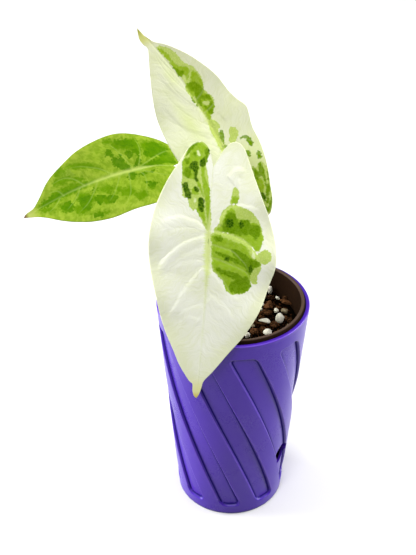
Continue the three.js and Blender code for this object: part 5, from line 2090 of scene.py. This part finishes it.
SHOWN_LUMPS = {
    # The last plain number of each bark lump is its tone, partly its own colour and partly painted shade: the
    # lumps at the back, near the wall, have the darkest
    LumpKind.BARK: (
        Lump(28.4, 29.6, 5.6, 4.4, 3.9, 1.4, 1, 0.15, tilt=-6),
        Lump(23.5, 19.6, 5.7, 4.6, 4.3, 0.6, 2, 0.1, tilt=10),
        Lump(32.4, 19.9, 3.7, 3.3, 3.1, 1.6, 3, 0.3, tilt=-10),
        Lump(33.2, 14.6, 9.1, 3.2, 2.3, 2.0, 4, 0.7, tilt=24, bend=0.15, taper=0.45),
        Lump(21.2, 9.9, 5.8, 5.2, 4.6, 1.4, 5, 0.8, tilt=-6),
        Lump(20.4, 5.0, 6.9, 5.5, 3.7, 0.2, 6, 0.35, tilt=8),
        Lump(17.5, -5.2, 7.6, 3.1, 2.1, 0.8, 7, 0.45, tilt=4, bend=0.1, taper=0.2),
        Lump(24.8, -7.2, 6.7, 5.4, 5.3, 0.4, 8, 0.35, tilt=16),
        Lump(12.6, -14.0, 6.1, 5.4, 4.6, 0.6, 9, 0.5, tilt=20),
        Lump(33.9, -2.8, 3.9, 3.5, 4.4, 0.8, 10, 0.3, tilt=-20),
    ),
    LumpKind.PERLITE: (
        Lump(23.6, 27.5, 3.3, 3.3, 5.9, 1.0, 1),
        Lump(27.8, 19.2, 3.2, 1.6, 1.9, 2.0, 2, tilt=38),
        Lump(26.3, 6.5, 3.0, 3.0, 3.2, 1.4, 3),
        Lump(27.8, -2.5, 5.2, 5.0, 7.7, 0.8, 4, tilt=8),
        Lump(18.8, -3.3, 7.3, 4.0, 1.6, 1.8, 5, tilt=6, bend=0.9, taper=-0.45),
        Lump(19.9, -14.8, 5.3, 4.8, 3.6, 1.2, 6),
        Lump(8.2, -18.4, 3.2, 2.9, 4.5, 1.2, 7),
        Lump(18.5, 10.5, 1.3, 1.3, 1.5, 3.4, 9),
        Lump(17.4, 5.7, 1.1, 1.1, 1.6, 3.4, 10),
    ),
    LumpKind.STONE: (
        Lump(31.2, 6.3, 4.3, 3.9, 3.8, 1.0, 1, 0.4),
        Lump(11.7, -9.2, 2.3, 2.3, 2.9, 1.6, 3, 0.9),
        Lump(32.4, -7.6, 2.0, 2.0, 2.0, 1.0, 4, 0.3),
    ),
}


def main() -> None:
    """Builds the studio and every piece of the plant, and reports each one."""
    logging.basicConfig(level=logging.INFO, format="%(name)s %(message)s")
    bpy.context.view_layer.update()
    Studio().build()
    OuterPot().build()
    nursery_pot = NurseryPot()
    nursery_pot.build()
    PottingMix(SHOWN_LUMPS).build(nursery_pot)
    stalk_skin = StalkSkin("stalk_skin", (168, 190, 104), (206, 214, 150), (178, 178, 120), 140.0).material()
    leaves = (FRONT_LEAF, BACK_LEAF, LEFT_LEAF)
    stalks = [Stalk(leaf, stalk_skin) for leaf in leaves]
    Crown().build(stalks)
    tree = stalk_tree()
    for stalk in stalks:
        stalk.build(tree)
    Blade(FRONT_LEAF, FRONT_PATTERN, "cream_blade").build()
    Blade(BACK_LEAF, BACK_PATTERN, "cream_blade").build()
    Blade(LEFT_LEAF, LEFT_PATTERN, "green_blade").build()


if __name__ == "__main__":
    main()
